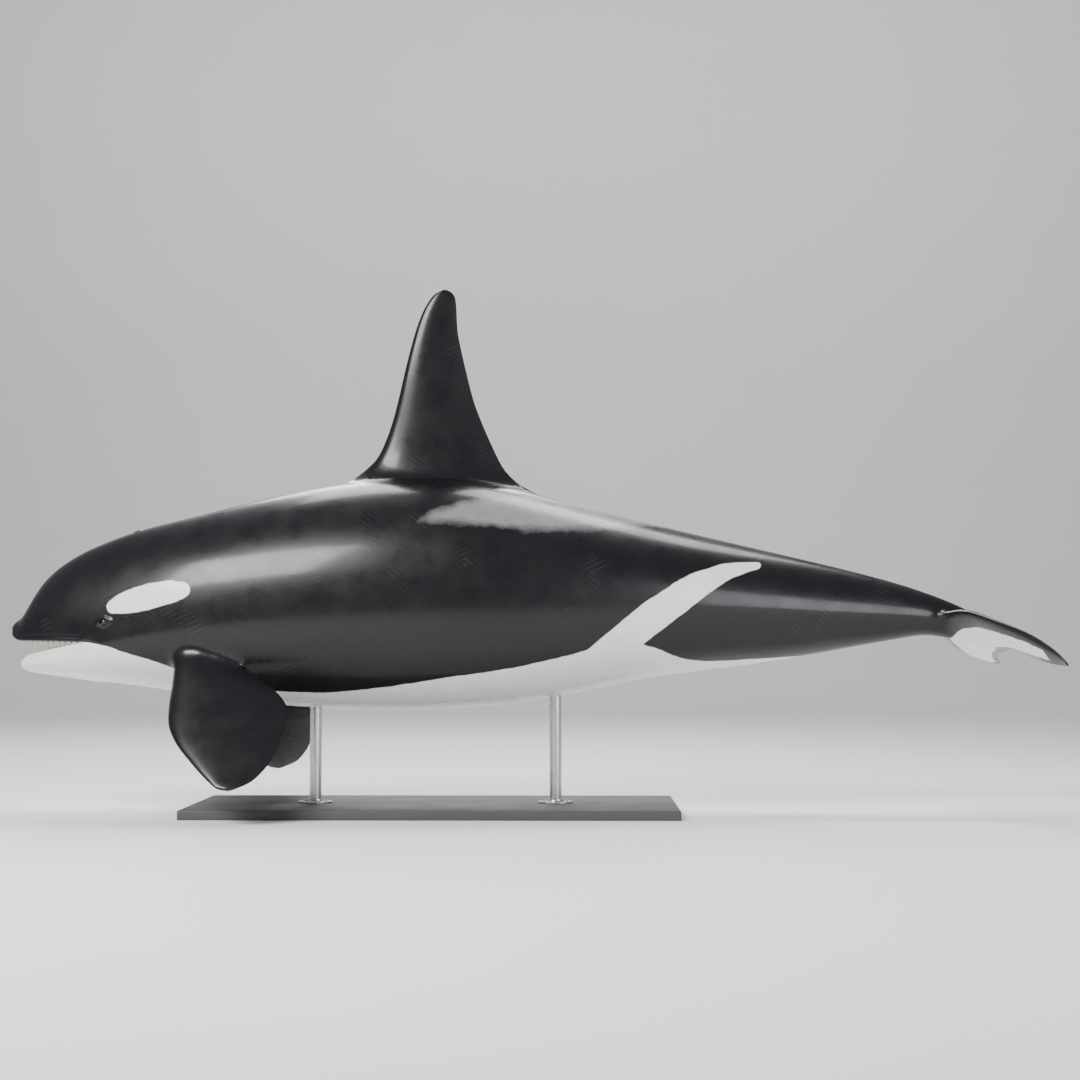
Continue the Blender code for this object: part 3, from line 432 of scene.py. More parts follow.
def edge_draw(x, tip, line):
    """How far the lip's edge is drawn from its line toward the tip of its jaw."""
    return ROUND_SHARE * (1 - smooth_step((x - tip[0]) / ROUND_RUN)) * (tip[1] - line(x))


def upper_arc(x):
    side = widest_z(x) + edge_draw(x, SNOUT, widest_z)
    return quarter(half_width(x), side, back_z(x), upper_round(x), UPPER_SEGMENTS, crowding(x))


def lower_arc(x):
    if x < CORNER_X:
        side = lower_lip_z(x) + edge_draw(x, JAW_TIP, lower_lip_z)
        return quarter(jaw_half_width(x), side, chin_z(x), lower_round(x), LOWER_SEGMENTS,
                       crowding(x))
    return quarter(half_width(x), widest_z(x), belly_z(x), lower_round(x), LOWER_SEGMENTS,
                   crowding(x))


def mouth_line(x, width, lip_z, rise, back, draw=0.0):
    """Points across the mouth from the right lip to the left, with the gums raised."""
    line = []
    for i in range(1, MOUTH_SEGMENTS):
        u = 1 - 2 * i / MOUTH_SEGMENTS
        u = math.copysign(abs(u) ** 0.8, u)
        lift = float(smooth_step((1 - abs(u)) / 0.45))
        inside = (1 - abs(u)) * width
        gum = 0.16 * rise * math.exp(-((inside - 0.030) / 0.014) ** 2)
        z = lip_z + rise * lift - gum + draw * (1 - math.sqrt(1 - u * u))
        line.append((x + back * (1 - u * u), u * width, z))
    return line


def join_rings(mesh, first, second):
    for i in range(len(first)):
        j = (i + 1) % len(first)
        mesh.faces.new((first[i], first[j], second[j], second[i]))


def close_to_point(mesh, ring, point):
    for i in range(len(ring)):
        mesh.faces.new((ring[i], ring[(i + 1) % len(ring)], point))


def body_hide():
    """Head with its open mouth, trunk and tail as one closed mesh of rings."""
    mesh = bmesh.new()
    lining = mesh.verts.layers.float.new("lining")

    def ring_of(points, lined=0, width=0.0, front=-9.0):
        verts = [mesh.verts.new(p) for p in points]
        for v in verts:
            v[lining] = -1.0
        for v in verts[len(verts) - lined:]:
            inside = min(width - LIP_EDGE - abs(v.co.y), v.co.x - front)
            v[lining] = max(-1.0, min(1.0, inside / 0.006))
        return verts

    places = list(np.linspace(CORNER_X, -2.70, 50))
    places += list(np.linspace(-2.70, 3.30, 188)[1:])
    places += list(3.30 + (BODY_END - 3.30) * np.sin(np.linspace(0, math.pi / 2, 18))[1:-1])
    rings = []
    for x in places:
        up, low = upper_arc(x), lower_arc(x)
        ring = [(x, -y, z) for y, z in up] + [(x, y, z) for y, z in up[-2::-1]]
        ring += [(x, y, z) for y, z in low[1:]] + [(x, -y, z) for y, z in low[-2:0:-1]]
        rings.append(ring_of(ring))
    for a, b in zip(rings, rings[1:]):
        join_rings(mesh, a, b)
    close_to_point(mesh, rings[-1], mesh.verts.new((BODY_END, 0, 1.262)))
    corner = rings[0]
    upper_count = 2 * UPPER_SEGMENTS + 1
    corner_width = half_width(CORNER_X)
    gullet = ring_of(mouth_line(CORNER_X, corner_width, widest_z(CORNER_X), 0.0, GULLET_DEPTH),
                     MOUTH_SEGMENTS - 1, corner_width)
    shares = [0.5 * (t + math.sin(math.pi / 2 * t)) for t in np.linspace(0, 1, 76)[1:-1]]

    def grow_jaw(loop, tip, arc, width, lip, far, depth, limit, front, gum_front, s):
        """Rings from the mouth's corner to the tip of a jaw; s is 1 for the upper one."""
        for share in shares:
            x = CORNER_X + (tip[0] - CORNER_X) * share
            half = arc(x)
            hollow = min(depth * min(1, share / 0.15), limit * s * (far(x) - lip(x)))
            hollow *= float(smooth_step((x - tip[0] - front) / FRONT_EASE))
            points = [(x, -s * y, z) for y, z in half] + [(x, s * y, z) for y, z in half[-2::-1]]
            points += mouth_line(x, width(x), lip(x), s * hollow,
                                 GULLET_DEPTH * max(0, 1 - share / 0.35),
                                 edge_draw(x, tip, lip))[::s]
            new = ring_of(points, MOUTH_SEGMENTS - 1, width(x), tip[0] + gum_front)
            join_rings(mesh, loop, new)
            loop = new
        close_to_point(mesh, loop, mesh.verts.new((tip[0], 0, tip[1])))

    grow_jaw(corner[:upper_count] + gullet, SNOUT, upper_arc, half_width, widest_z, back_z,
             PALATE_RISE, PALATE_LIMIT, UPPER_FRONT, GUM_FRONT, 1)
    grow_jaw(corner[upper_count - 1:] + [corner[0]] + gullet[::-1], JAW_TIP, lower_arc,
             jaw_half_width, lower_lip_z, chin_z, MOUTH_FLOOR_DROP, FLOOR_LIMIT, LOWER_FRONT,
             LOWER_FRONT, -1)
    for v in mesh.verts:
        if v[lining] == 0:
            v[lining] = -1.0
    bmesh.ops.recalc_face_normals(mesh, faces=mesh.faces)
    return mesh


def side_y(x, z):
    """Half width of the trunk at this place on its side."""
    top = z >= widest_z(x)
    end = back_z(x) if top else belly_z(x)
    n = upper_round(x) if top else lower_round(x)
    rise = min(abs((z - widest_z(x)) / (end - widest_z(x))), 1)
    return float(half_width(x) * (1 - rise**n) ** (1 / n))


def side_normal(x, z):
    d = 0.01
    along = (side_y(x + d, z) - side_y(x - d, z)) / (2 * d)
    up = (side_y(x, z + d) - side_y(x, z - d)) / (2 * d)
    return Vector((-along, 1, -up)).normalized()


def refine(mesh, centres, radius):
    """Splits the edges near these centres once, for fine folds."""
    near = []
    for edge in mesh.edges:
        middle = (edge.verts[0].co + edge.verts[1].co) / 2
        if any((middle - c).length < radius for c in centres):
            near.append(edge)
    bmesh.ops.subdivide_edges(mesh, edges=near, cuts=1, use_grid_fill=True)


EYE_X, EYE_Z = -3.052, 1.418
EYE_RADIUS, EYE_SINK = 0.034, 0.020
OPENING_LENGTH, OPENING_HEIGHT = 0.031, 0.0205
BLOWHOLE_X, BLOWHOLE_RADIUS, BLOWHOLE_DEPTH = -2.905, 0.055, 0.030
NAVEL_X = 0.12
SLIT_FROM, SLIT_TO = 1.45, 1.80

hide = body_hide()
eye_place = Vector((EYE_X, side_y(EYE_X, EYE_Z), EYE_Z))
eye_way = side_normal(EYE_X, EYE_Z)
eye_spots = [Vector((eye_place.x, side * eye_place.y, eye_place.z)) for side in (-1, 1)]
crown = Vector((BLOWHOLE_X, 0, float(back_z(BLOWHOLE_X))))
navel = Vector((NAVEL_X, 0, float(belly_z(NAVEL_X))))
slit_spots = [Vector((x, 0, float(belly_z(x)))) for x in np.linspace(SLIT_FROM, SLIT_TO, 5)]
refine(hide, eye_spots, 0.120)
refine(hide, eye_spots, 0.075)
refine(hide, eye_spots, 0.046)
refine(hide, [crown], 0.110)
refine(hide, [crown], 0.090)
refine(hide, [navel] + slit_spots, 0.080)
refine(hide, [navel] + slit_spots, 0.060)
bmesh.ops.recalc_face_normals(hide, faces=hide.faces)
hide.normal_update()


def lid_height(e):
    """Height of the lids over the cheek by distance from the eye; 1 is their edge."""
    rim = 0.0165 * float(smooth_step((2.6 - e) / 1.7))
    crease = -0.0035 * math.exp(-((e - 1.62) / 0.16) ** 2)
    roll = 0.0020 * math.exp(-((e - 1.12) / 0.14) ** 2)
    hole = -0.055 * float(smooth_step((1.02 - e) / 0.32))
    return rim + crease + roll + hole


def shape_folds(mesh):
    """Moves the skin along its normals into lids, lips, blowhole, navel and slit."""
    lining = mesh.verts.layers.float["lining"]
    moves = []
    for v in mesh.verts:
        push = 0.0
        p = v.co
        side = 1 if p.y > 0 else -1
        way = Vector((eye_way.x, side * eye_way.y, eye_way.z))
        d = p - eye_spots[1 if side > 0 else 0]
        if d.length < 0.14:
            along = Vector((1, 0, 0.10))
            along = (along - way * along.dot(way)).normalized()
            across = way.cross(along)
            a, b = d.dot(along) / OPENING_LENGTH, d.dot(across) / OPENING_HEIGHT
            e = math.sqrt(a * a + b * b * (1 + 0.5 * min(a * a, 1)))
            moves.append((v, way * lid_height(e)))
            continue
        d = p - crown
        if d.length < 0.13 and p.z > 1.9:
            r = math.hypot(d.x + 0.03, d.y)
            turn = math.degrees(math.atan2(abs(d.y), d.x + 0.03))
            fade = float(smooth_step((88 - turn) / 25))
            off = abs(r - BLOWHOLE_RADIUS)
            push += fade * (0.006 * math.exp(-((off - 0.015) / 0.010) ** 2)
                            - BLOWHOLE_DEPTH * math.exp(-(off / 0.0055) ** 2))
        if (p - navel).length < 0.08:
            push -= 0.006 * math.exp(-((p.x - navel.x) / 0.022) ** 2
                                     - (p.y / 0.010) ** 2)
        if SLIT_FROM - 0.06 < p.x < SLIT_TO + 0.06 and p.z < 1.35 and abs(p.y) < 0.1:
            inside = float(smooth_step((p.x - SLIT_FROM) / 0.05)
                           * smooth_step((SLIT_TO - p.x) / 0.05))
            push += inside * (0.005 * math.exp(-((abs(p.y) - 0.020) / 0.012) ** 2)
                              - 0.013 * math.exp(-(p.y / 0.006) ** 2))
        if p.x < CORNER_X + 0.02 and v[lining] < 0 and p.z < 1.5 and abs(p.y) > 0.01:
            fade = float(smooth_step((CORNER_X + 0.02 - p.x) / 0.10)
                         * smooth_step(half_width(p.x) / 0.20) * smooth_step(abs(p.y) / 0.10))
            upper = p.z > lower_lip_z(p.x) + 0.5 * max(widest_z(p.x) - lower_lip_z(p.x), 0.004)
            lip = widest_z(p.x) if upper else lower_lip_z(p.x)
            off = abs(p.z - lip)
            push += fade * (0.0045 * math.exp(-((off - 0.010) / 0.010) ** 2)
                            - 0.0035 * math.exp(-((off - 0.036) / 0.010) ** 2))
        if CORNER_X - 0.03 < p.x < CORNER_X + 0.16 and v[lining] < 0 and abs(p.y) > 0.2:
            run = (p.x - CORNER_X) / 0.16
            fold = widest_z(CORNER_X) - 0.055 * max(run, 0) ** 1.5
            fade = float(smooth_step((1.0 - run) / 0.7) * smooth_step((run + 0.18) / 0.15))
            off = p.z - fold
            push += fade * (0.004 * math.exp(-((off - 0.022) / 0.014) ** 2)
                            + 0.004 * math.exp(-((off + 0.022) / 0.014) ** 2)
                            - 0.007 * math.exp(-(off / 0.009) ** 2))
        if push:
            moves.append((v, v.normal * push))
    for v, move in moves:
        v.co += move


def relax(share, rounds, pull):
    """Draws each point toward its neighbours by its share, round after round."""
    for _ in range(rounds):
        moved = {}
        for v, s in share.items():
            ring = [e.other_vert(v).co for e in v.link_edges]
            moved[v] = v.co.lerp(sum(ring, Vector()) / len(ring), pull * s)
        for v, co in moved.items():
            v.co = co


def soften_edge(mesh, tip, width, line, rounds):
    """Rounds the lip's edge over the front of one jaw."""
    share = {}
    for v in mesh.verts:
        x = v.co.x
        if x > tip[0] + 0.13:
            continue
        edge = line(x) + edge_draw(x, tip, line)
        off = math.hypot(abs(v.co.y) - width(x), v.co.z - edge)
        s = smooth_step((tip[0] + 0.13 - x) / 0.07) * smooth_step((0.045 - off) / 0.03)
        if s > 0:
            share[v] = float(s)
    relax(share, rounds, 0.5)


shape_folds(hide)
soften_edge(hide, SNOUT, half_width, widest_z, 24)
soften_edge(hide, JAW_TIP, jaw_half_width, lower_lip_z, 16)

FIN_LEADING = [
    (-1.42, 2.3), (-1.35, 2.44), (-1.255, 2.525), (-1.125, 2.617), (-1.05, 2.75), (-0.99, 2.913),
    (-0.941, 3.097), (-0.894, 3.305), (-0.841, 3.52), (-0.776, 3.729), (-0.703, 3.87),
    (-0.642, 3.93), (-0.575, 3.952)]
FIN_TRAILING = [
    (0.23, 2.3), (0.095, 2.392), (-0.055, 2.48), (-0.142, 2.576), (-0.216, 2.723), (-0.295, 2.9),
    (-0.367, 3.089), (-0.421, 3.298), (-0.466, 3.494), (-0.494, 3.646), (-0.5, 3.8), (-0.51, 3.89),
    (-0.575, 3.952)]
FIN_THICKNESS = [
    (2.3, 0.4), (2.48, 0.235), (2.62, 0.165), (2.9, 0.13), (3.4, 0.09), (3.8, 0.06), (3.952, 0.03)]
FLIPPER_ROOT = Vector((-2.250, -0.620, 1.020))
RIGHT_FLIPPER_FORWARD = 0.022
FLIPPER_SPAN = Vector((0.2452, -0.6413, -0.7271))
FLIPPER_CHORD = Vector((0.9695, 0.1622, 0.1839))
FLIPPER_LEADING = [
    (-0.34, -0.2), (-0.15, -0.235), (0.05, -0.275), (0.185, -0.308), (0.383, -0.334),
    (0.521, -0.312), (0.754, -0.221), (0.949, -0.124), (1.03, -0.07), (1.064, 0.02)]
FLIPPER_TRAILING = [
    (-0.34, 0.19), (-0.15, 0.205), (-0.04, 0.238), (0.054, 0.305), (0.237, 0.44), (0.411, 0.505),
    (0.539, 0.487), (0.642, 0.442), (0.76, 0.39), (0.881, 0.318), (0.965, 0.24), (1.03, 0.15),
    (1.064, 0.02)]
FLIPPER_THICKNESS = [
    (-0.34, 0.19), (0.0, 0.165), (0.2, 0.13), (0.5, 0.09), (0.85, 0.055), (1.064, 0.025)]
FLUKE_LEADING = [
    (0.0, 3.09, 1.43), (0.12, 3.14, 1.395), (0.25, 3.215, 1.35), (0.4, 3.305, 1.295),
    (0.6, 3.44, 1.238), (0.8, 3.59, 1.192), (0.95, 3.708, 1.15), (1.06, 3.788, 1.12),
    (1.1, 3.823, 1.104)]
FLUKE_TRAILING = [
    (0.0, 3.64, 1.225), (0.06, 3.668, 1.222), (0.2, 3.69, 1.214), (0.45, 3.686, 1.19),
    (0.7, 3.712, 1.157), (0.9, 3.766, 1.127), (1.06, 3.82, 1.106), (1.1, 3.823, 1.104)]
FLUKE_THICKNESS = [
    (0.0, 0.15), (0.15, 0.125), (0.3, 0.095), (0.6, 0.062), (0.95, 0.034), (1.1, 0.012)]
LEFT_LOBE_LIFT = [
    (0.0, 0.0), (0.12, 0.085), (0.25, 0.15), (0.4, 0.19), (0.6, 0.18), (0.8, 0.15), (0.95, 0.1),
    (1.06, 0.04), (1.1, 0.0)]
RIGHT_LOBE_LIFT = [
    (0.0, 0.0), (0.25, -0.03), (0.6, -0.038), (0.95, -0.024), (1.1, 0.0)]
TRAILING_DROP = 0.10


def blade(sections, points_a_side):
    """A fin from sections of (leading point, trailing point, thickness, way)."""
    mesh = bmesh.new()
    lining = mesh.verts.layers.float.new("lining")
    shares = [(1 - math.cos(math.pi * i / points_a_side)) / 2
              for i in range(points_a_side + 1)]
    rings = []
    for lead, trail, thick, way in sections:
        ring = []
        for side, order in ((1, shares), (-1, shares[-2:0:-1])):
            for s in order:
                swell = 5 * (0.2969 * math.sqrt(s) - 0.126 * s - 0.3516 * s**2
                             + 0.2843 * s**3 - 0.1036 * s**4)
                ring.append(mesh.verts.new(lead.lerp(trail, s) + way * (side * swell * thick)))
        rings.append(ring)
    for a, b in zip(rings, rings[1:]):
        join_rings(mesh, a, b)
    for ring in (rings[0], rings[-1]):
        middle = sum((v.co for v in ring), Vector()) / len(ring)
        close_to_point(mesh, ring, mesh.verts.new(middle))
    for v in mesh.verts:
        v[lining] = -1.0
    bmesh.ops.recalc_face_normals(mesh, faces=mesh.faces)
    return mesh


def toward_tip(count):
    """Shares of a span that crowd toward its tip."""
    return [0.35 * t + 0.65 * math.sin(math.pi / 2 * t) for t in np.linspace(0, 1, count)]


def dorsal_fin():
    lead = smooth_line(sorted((z, x) for x, z in FIN_LEADING), 0.04)
    trail = smooth_line(sorted((z, x) for x, z in FIN_TRAILING), 0.04)
    thick = smooth_line(FIN_THICKNESS, 0.06)
    bottom, top = FIN_LEADING[0][1], FIN_LEADING[-1][1]
    sections = []
    for share in toward_tip(54)[:-1]:
        z = bottom + (top - bottom) * share
        sections.append((Vector((lead(z), 0, z)), Vector((trail(z), 0, z)),
                         float(thick(z)), Vector((0, 1, 0))))
    return blade(sections, 26)


def flipper(side):
    """side is -1 for the animal's left, 1 for its right."""
    lead, trail = smooth_line(FLIPPER_LEADING, 0.03), smooth_line(FLIPPER_TRAILING, 0.03)
    thick = smooth_line(FLIPPER_THICKNESS, 0.05)
    start, end = FLIPPER_LEADING[0][0], FLIPPER_LEADING[-1][0]
    way = FLIPPER_SPAN.cross(FLIPPER_CHORD).normalized()
    mirror = Vector((1, -side, 1))
    sections = []
    for share in toward_tip(46)[:-1]:
        span = start + (end - start) * share
        base = FLIPPER_ROOT + FLIPPER_SPAN * span
        if side > 0:
            base.x -= RIGHT_FLIPPER_FORWARD
        ends = [(base + FLIPPER_CHORD * float(line(span))) * mirror for line in (lead, trail)]
        sections.append((ends[0], ends[1], float(thick(span)), way * mirror))
    return blade(sections, 24)


fluke_lead_x, fluke_lead_z = [smooth_line([(k[0], k[i]) for k in FLUKE_LEADING], 0.03)
                              for i in (1, 2)]
fluke_trail_x, fluke_trail_z = [smooth_line([(k[0], k[i]) for k in FLUKE_TRAILING], 0.03)
                                for i in (1, 2)]


fluke_thick = smooth_line(FLUKE_THICKNESS, 0.03)
left_lift, right_lift = smooth_line(LEFT_LOBE_LIFT, 0.03), smooth_line(RIGHT_LOBE_LIFT, 0.03)


def lobe_lift(side):
    return right_lift if side > 0 else left_lift


def flukes():
    """Both lobes as one blade across the tail, from the left tip to the right."""
    tip = FLUKE_LEADING[-1][0]
    half = toward_tip(40)[:-1]
    sections = []
    for share in [-s for s in half[:0:-1]] + half:
        y = abs(share) * tip
        lift = float(lobe_lift(share)(y))
        a = Vector((fluke_lead_x(y), share * tip, fluke_lead_z(y) + lift))
        b = Vector((fluke_trail_x(y), share * tip, fluke_trail_z(y) - TRAILING_DROP * abs(lift)))
        way = (b - a).cross(Vector((0, 1, 0))).normalized()
        sections.append((a, b, float(fluke_thick(y)), way))
    return blade(sections, 24)


def grown_together(body, limb):
    """Joins a limb to the body and returns the places of the new seam points."""
    known = {tuple(round(c, 5) for c in v.co) for o in (body, limb) for v in o.data.vertices}
    step = body.modifiers.new("join", "BOOLEAN")
    step.operation, step.solver, step.object = "UNION", "MANIFOLD", limb
    graph = bpy.context.evaluated_depsgraph_get()
    body.data = bpy.data.meshes.new_from_object(body.evaluated_get(graph))
    body.modifiers.clear()
    bpy.data.objects.remove(limb, do_unlink=True)
    return [v.co.copy() for v in body.data.vertices
            if tuple(round(c, 5) for c in v.co) not in known]


def eased(mesh, seams, rounds):
    """Smooths the skin round each seam into a fillet; seams are (points, reach)."""
    for points, reach in seams:
        near = KDTree(len(points))
        for i, p in enumerate(points):
            near.insert(p, i)
        near.balance()
        close = [v for v in mesh.verts if near.find(v.co)[2] < 0.006]
        bmesh.ops.remove_doubles(mesh, verts=close, dist=0.005)
        mesh.verts.ensure_lookup_table()
        share = {v: float(smooth_step(1 - near.find(v.co)[2] / reach)) for v in mesh.verts
                 if near.find(v.co)[2] < reach}
        relax(share, rounds, 0.55)


skin = put_in_scene("skin", hide, smooth=False)
seams = []
for name, limb, reach in (("fin", dorsal_fin(), 0.17), ("left", flipper(-1), 0.14),
                          ("right", flipper(1), 0.14), ("flukes", flukes(), 0.13)):
    limb = put_in_scene(name, limb, smooth=False)
    seams.append((grown_together(skin, limb), reach))
hide = bmesh.new()
hide.from_mesh(skin.data)
eased(hide, seams, 22)
lining = hide.verts.layers.float["lining"]
for v in hide.verts:
    if v.co.x > CORNER_X + 0.09:
        v[lining] = -1.0
hide.to_mesh(skin.data)
hide.free()

# Markings, as fields over the skin: above zero inside a patch, below it outside.
WHITE_EDGE = [
    (-3.9, 1.0), (-3.2, 1.0), (-3.08, 0.93), (-2.92, 0.8), (-2.7, 0.66), (-2.45, 0.54),
    (-2.15, 0.44), (-1.85, 0.38), (-1.5, 0.38), (-1.1, 0.43), (-0.6, 0.5), (-0.1, 0.55),
    (0.3, 0.6), (0.7, 0.66), (0.95, 0.6), (1.15, 0.44), (1.35, 0.32), (1.6, 0.26), (1.85, 0.2),
    (2.05, 0.1), (2.15, -0.05), (2.4, -0.6), (3.62, -0.8)]
FLANK_LOBE = [
    (0.35, 0.4, 0.12), (0.65, 0.56, 0.14), (0.95, 0.72, 0.13), (1.25, 0.84, 0.105),
    (1.5, 0.9, 0.07), (1.74, 0.9, 0.034)]
EYE_PATCH = [
    (-2.985, 1.53, 0.052), (-2.9, 1.556, 0.078), (-2.79, 1.585, 0.092), (-2.67, 1.612, 0.094),
    (-2.56, 1.634, 0.084), (-2.465, 1.648, 0.064)]
SADDLE = [
    (-0.72, 0.74, 0.02), (-0.48, 0.67, 0.085), (-0.16, 0.56, 0.15), (0.14, 0.42, 0.2),
    (0.44, 0.26, 0.215), (0.74, 0.12, 0.175), (1.02, 0.02, 0.095)]


def patch_field(first, second, knots):
    """How far inside a rounded patch each point lies; knots are (first, second, radius)."""
    best = np.full(len(first), -9.0)
    table = np.array(knots)
    steps = np.linspace(0, len(knots) - 1, 90)
    for t in steps:
        u, w, r = [np.interp(t, range(len(knots)), table[:, c]) for c in range(3)]
        best = np.maximum(best, r - np.hypot(first - u, second - w))
    return best


def paint_fields(data):
    count = len(data.vertices)
    place = np.empty(count * 3)
    data.vertices.foreach_get("co", place)
    x, y, z = place.reshape(-1, 3).T
    width, side, top = half_width(x) + 1e-4, widest_z(x), back_z(x)
    low = np.where(x < -3.2, np.minimum(chin_z(x), side - 0.02), belly_z(x))
    across = np.clip(np.abs(y) / width, 0, 1.4)
    over = np.clip((z - side) / np.maximum(top - side, 1e-3), 0, 1.5)
    under = np.clip((side - z) / np.maximum(side - low, 1e-3), 0, 1.5)
    turn = np.where(z >= side, 1 + np.arctan2(over, across) / (math.pi / 2),
                    1 - np.arctan2(under, across) / (math.pi / 2))
    lower_quarter = math.pi / 2 * np.sqrt((width**2 + (side - low) ** 2) / 2)
    upper_quarter = math.pi / 2 * np.sqrt((width**2 + (top - side) ** 2) / 2)

    belly = (smooth_line(WHITE_EDGE, 0.06)(x) - turn) * lower_quarter
    jaw = (widest_z(x) + lower_lip_z(x)) / 2 - z
    belly = np.where(x < -3.2, jaw, np.where(x < -3.1, np.minimum(belly, 0.4), belly))
    belly = np.where(x > 2.6, -0.4, belly)
    flank = np.where(z > side + 0.35, -1, patch_field(x, turn * lower_quarter, FLANK_LOBE))
    eye = patch_field(x, z, EYE_PATCH) - np.where(np.abs(y) < 0.12, 1.0, 0.0)
    white = np.maximum(np.maximum(belly, flank), eye)

    # Fins are black, apart from the undersides of the flukes.
    chord_way = FLIPPER_SPAN.cross(FLIPPER_CHORD).normalized()
    root_x = FLIPPER_ROOT.x - np.where(y > 0, RIGHT_FLIPPER_FORWARD, 0.0)
    offset = np.stack([x - root_x, -np.abs(y) - FLIPPER_ROOT.y, z - FLIPPER_ROOT.z])
    flipper_reach = np.array(FLIPPER_SPAN) @ offset
    off_plane = np.abs(np.array(chord_way) @ offset)
    paddle = np.minimum(np.minimum(flipper_reach + 0.13, 0.17 - off_plane),
                        0.8 - np.abs(x + 2.1))
    white = np.minimum(white, -paddle)
    ay = np.abs(y)
    lead, trail = fluke_lead_x(ay), fluke_trail_x(ay)
    chord = np.maximum(trail - lead, 1e-3)
    share = (x - lead) / chord
    rim = np.minimum(np.minimum((share - 0.20) * chord, (0.80 - share) * chord),
                     (0.90 - ay) * 0.8)
    lift = np.where(y > 0, right_lift(ay), left_lift(ay))
    lead_z = fluke_lead_z(ay) + lift
    trail_z = fluke_trail_z(ay) - TRAILING_DROP * np.abs(lift)
    middle = lead_z + (trail_z - lead_z) * np.clip(share, 0, 1)
    below = (middle - z) / (0.5 * fluke_thick(ay)) * 0.05
    white = np.where(x > 3.05, np.minimum(rim, below), white)

    on_fin = np.where(z > top + 0.05, (z - top - 0.05), 0.0)
    saddle = patch_field(x, (2 - turn) * upper_quarter, SADDLE) - 2.0 * on_fin
    saddle = np.where(z < side, -0.5, saddle)
    for label, values in (("white", white), ("saddle", saddle)):
        layer = data.attributes.new(label, "FLOAT", "POINT")
        layer.data.foreach_set("value", values.astype(np.float32))


paint_fields(skin.data)
skin.data.shade_smooth()

hide_finish, tree, shader = new_finish("wet_orca_skin", (0.012, 0.013, 0.016, 1), 0.32)


def field(tree, name):
    node = tree.nodes.new("ShaderNodeAttribute")
    node.attribute_name = name
    return node.outputs["Fac"]


def sums(tree, kind, first, second):
    node = tree.nodes.new("ShaderNodeMath")
    node.operation = kind
    for index, value in ((0, first), (1, second)):
        if isinstance(value, bpy.types.NodeSocket):
            tree.links.new(value, node.inputs[index])
        else:
            node.inputs[index].default_value = value
    return node.outputs[0]


place = scaled_place(tree, (1, 1, 1))
wander = spread(tree, grain(tree, place, 9.0, 3.0), 0.0, 1.0, -0.011, 0.011)
fine_wander = spread(tree, grain(tree, place, 60.0, 3.0), 0.0, 1.0, -0.0025, 0.0025)
ragged = sums(tree, "ADD", wander, fine_wander)
white_share = spread(tree, sums(tree, "ADD", field(tree, "white"), ragged), -0.004, 0.004, 0, 1)
saddle_edge = spread(tree, grain(tree, place, 5.0, 5.0, 0.60), 0.2, 0.8, -0.045, 0.045)
saddle_share = spread(tree, sums(tree, "ADD", field(tree, "saddle"), saddle_edge),
                      -0.035, 0.045, 0, 1)
lined_share = spread(tree, field(tree, "lining"), -0.5, 0.5, 0, 1)

mottle = grain(tree, place, 2.2, 6.0, 0.6)
black = blend_colours(tree, mottle, (0.0040, 0.0043, 0.0055, 1), (0.0085, 0.0090, 0.0108, 1))
cream = blend_colours(tree, grain(tree, place, 4.0, 6.0, 0.6), (0.70, 0.69, 0.655, 1),
                      (0.84, 0.835, 0.81, 1))
ash = blend_colours(tree, grain(tree, place, 11.0, 7.0, 0.7), (0.15, 0.156, 0.163, 1),
                    (0.255, 0.262, 0.268, 1))
coat = blend_colours(tree, sums(tree, "MULTIPLY", saddle_share, 0.92), black, ash)
coat = blend_colours(tree, white_share, coat, cream)

# Fine pale rakes and nicks, as other whales' teeth leave them.
rake_sets = []
for lean, spot in ((24.0, 0.0), (-38.0, 7.3)):
    turned_place = add_node(tree, "ShaderNodeMapping", Vector=place, Location=(spot, spot, 0),
                            Rotation=(0, math.radians(lean), 0))
    lines = add_node(tree, "ShaderNodeTexWave", Vector=turned_place.outputs[0], Scale=9.0,
                     Distortion=0.5, Detail=1.0, Detail_Scale=0.6)
    lines.bands_direction = "Z"
    scratch = spread(tree, lines.outputs["Fac"], 0.985, 1.0, 0, 1)
    zone = spread(tree, grain(tree, turned_place.outputs[0], 2.6, 1.0), 0.66, 0.70, 0, 1)
    broken = spread(tree, grain(tree, turned_place.outputs[0], 14.0, 2.0), 0.40, 0.55, 0, 1)
    rake_sets.append(sums(tree, "MULTIPLY", sums(tree, "MULTIPLY", scratch, zone), broken))
rake_share = sums(tree, "MULTIPLY", sums(tree, "MAXIMUM", *rake_sets), 0.24)
coat = blend_colours(tree, rake_share, coat, (0.20, 0.205, 0.21, 1))
gum = blend_colours(tree, grain(tree, place, 24.0, 5.0), (0.33, 0.125, 0.12, 1),
                    (0.50, 0.235, 0.215, 1))
coat = blend_colours(tree, lined_share, coat, gum)
sheen_spots = grain(tree, place, 6.0, 6.0, 0.6)
dress(tree, shader, coat, spread(tree, sheen_spots, 0.3, 0.7, 0.24, 0.38))
shader.inputs["Coat Weight"].default_value = 0.22
shader.inputs["Coat Roughness"].default_value = 0.12
shader.inputs["Specular IOR Level"].default_value = 0.30
ripples = grain(tree, scaled_place(tree, (1.0, 0.35, 2.2)), 26.0, 3.0)
pores = grain(tree, place, 260.0, 3.0)
relief = sums(tree, "ADD", sums(tree, "MULTIPLY", ripples, 0.8),
              sums(tree, "MULTIPLY", pores, 0.25))
relief = sums(tree, "SUBTRACT", relief, sums(tree, "MULTIPLY", rake_share, 0.5))
raise_surface(tree, shader, relief, 0.16, 0.003)

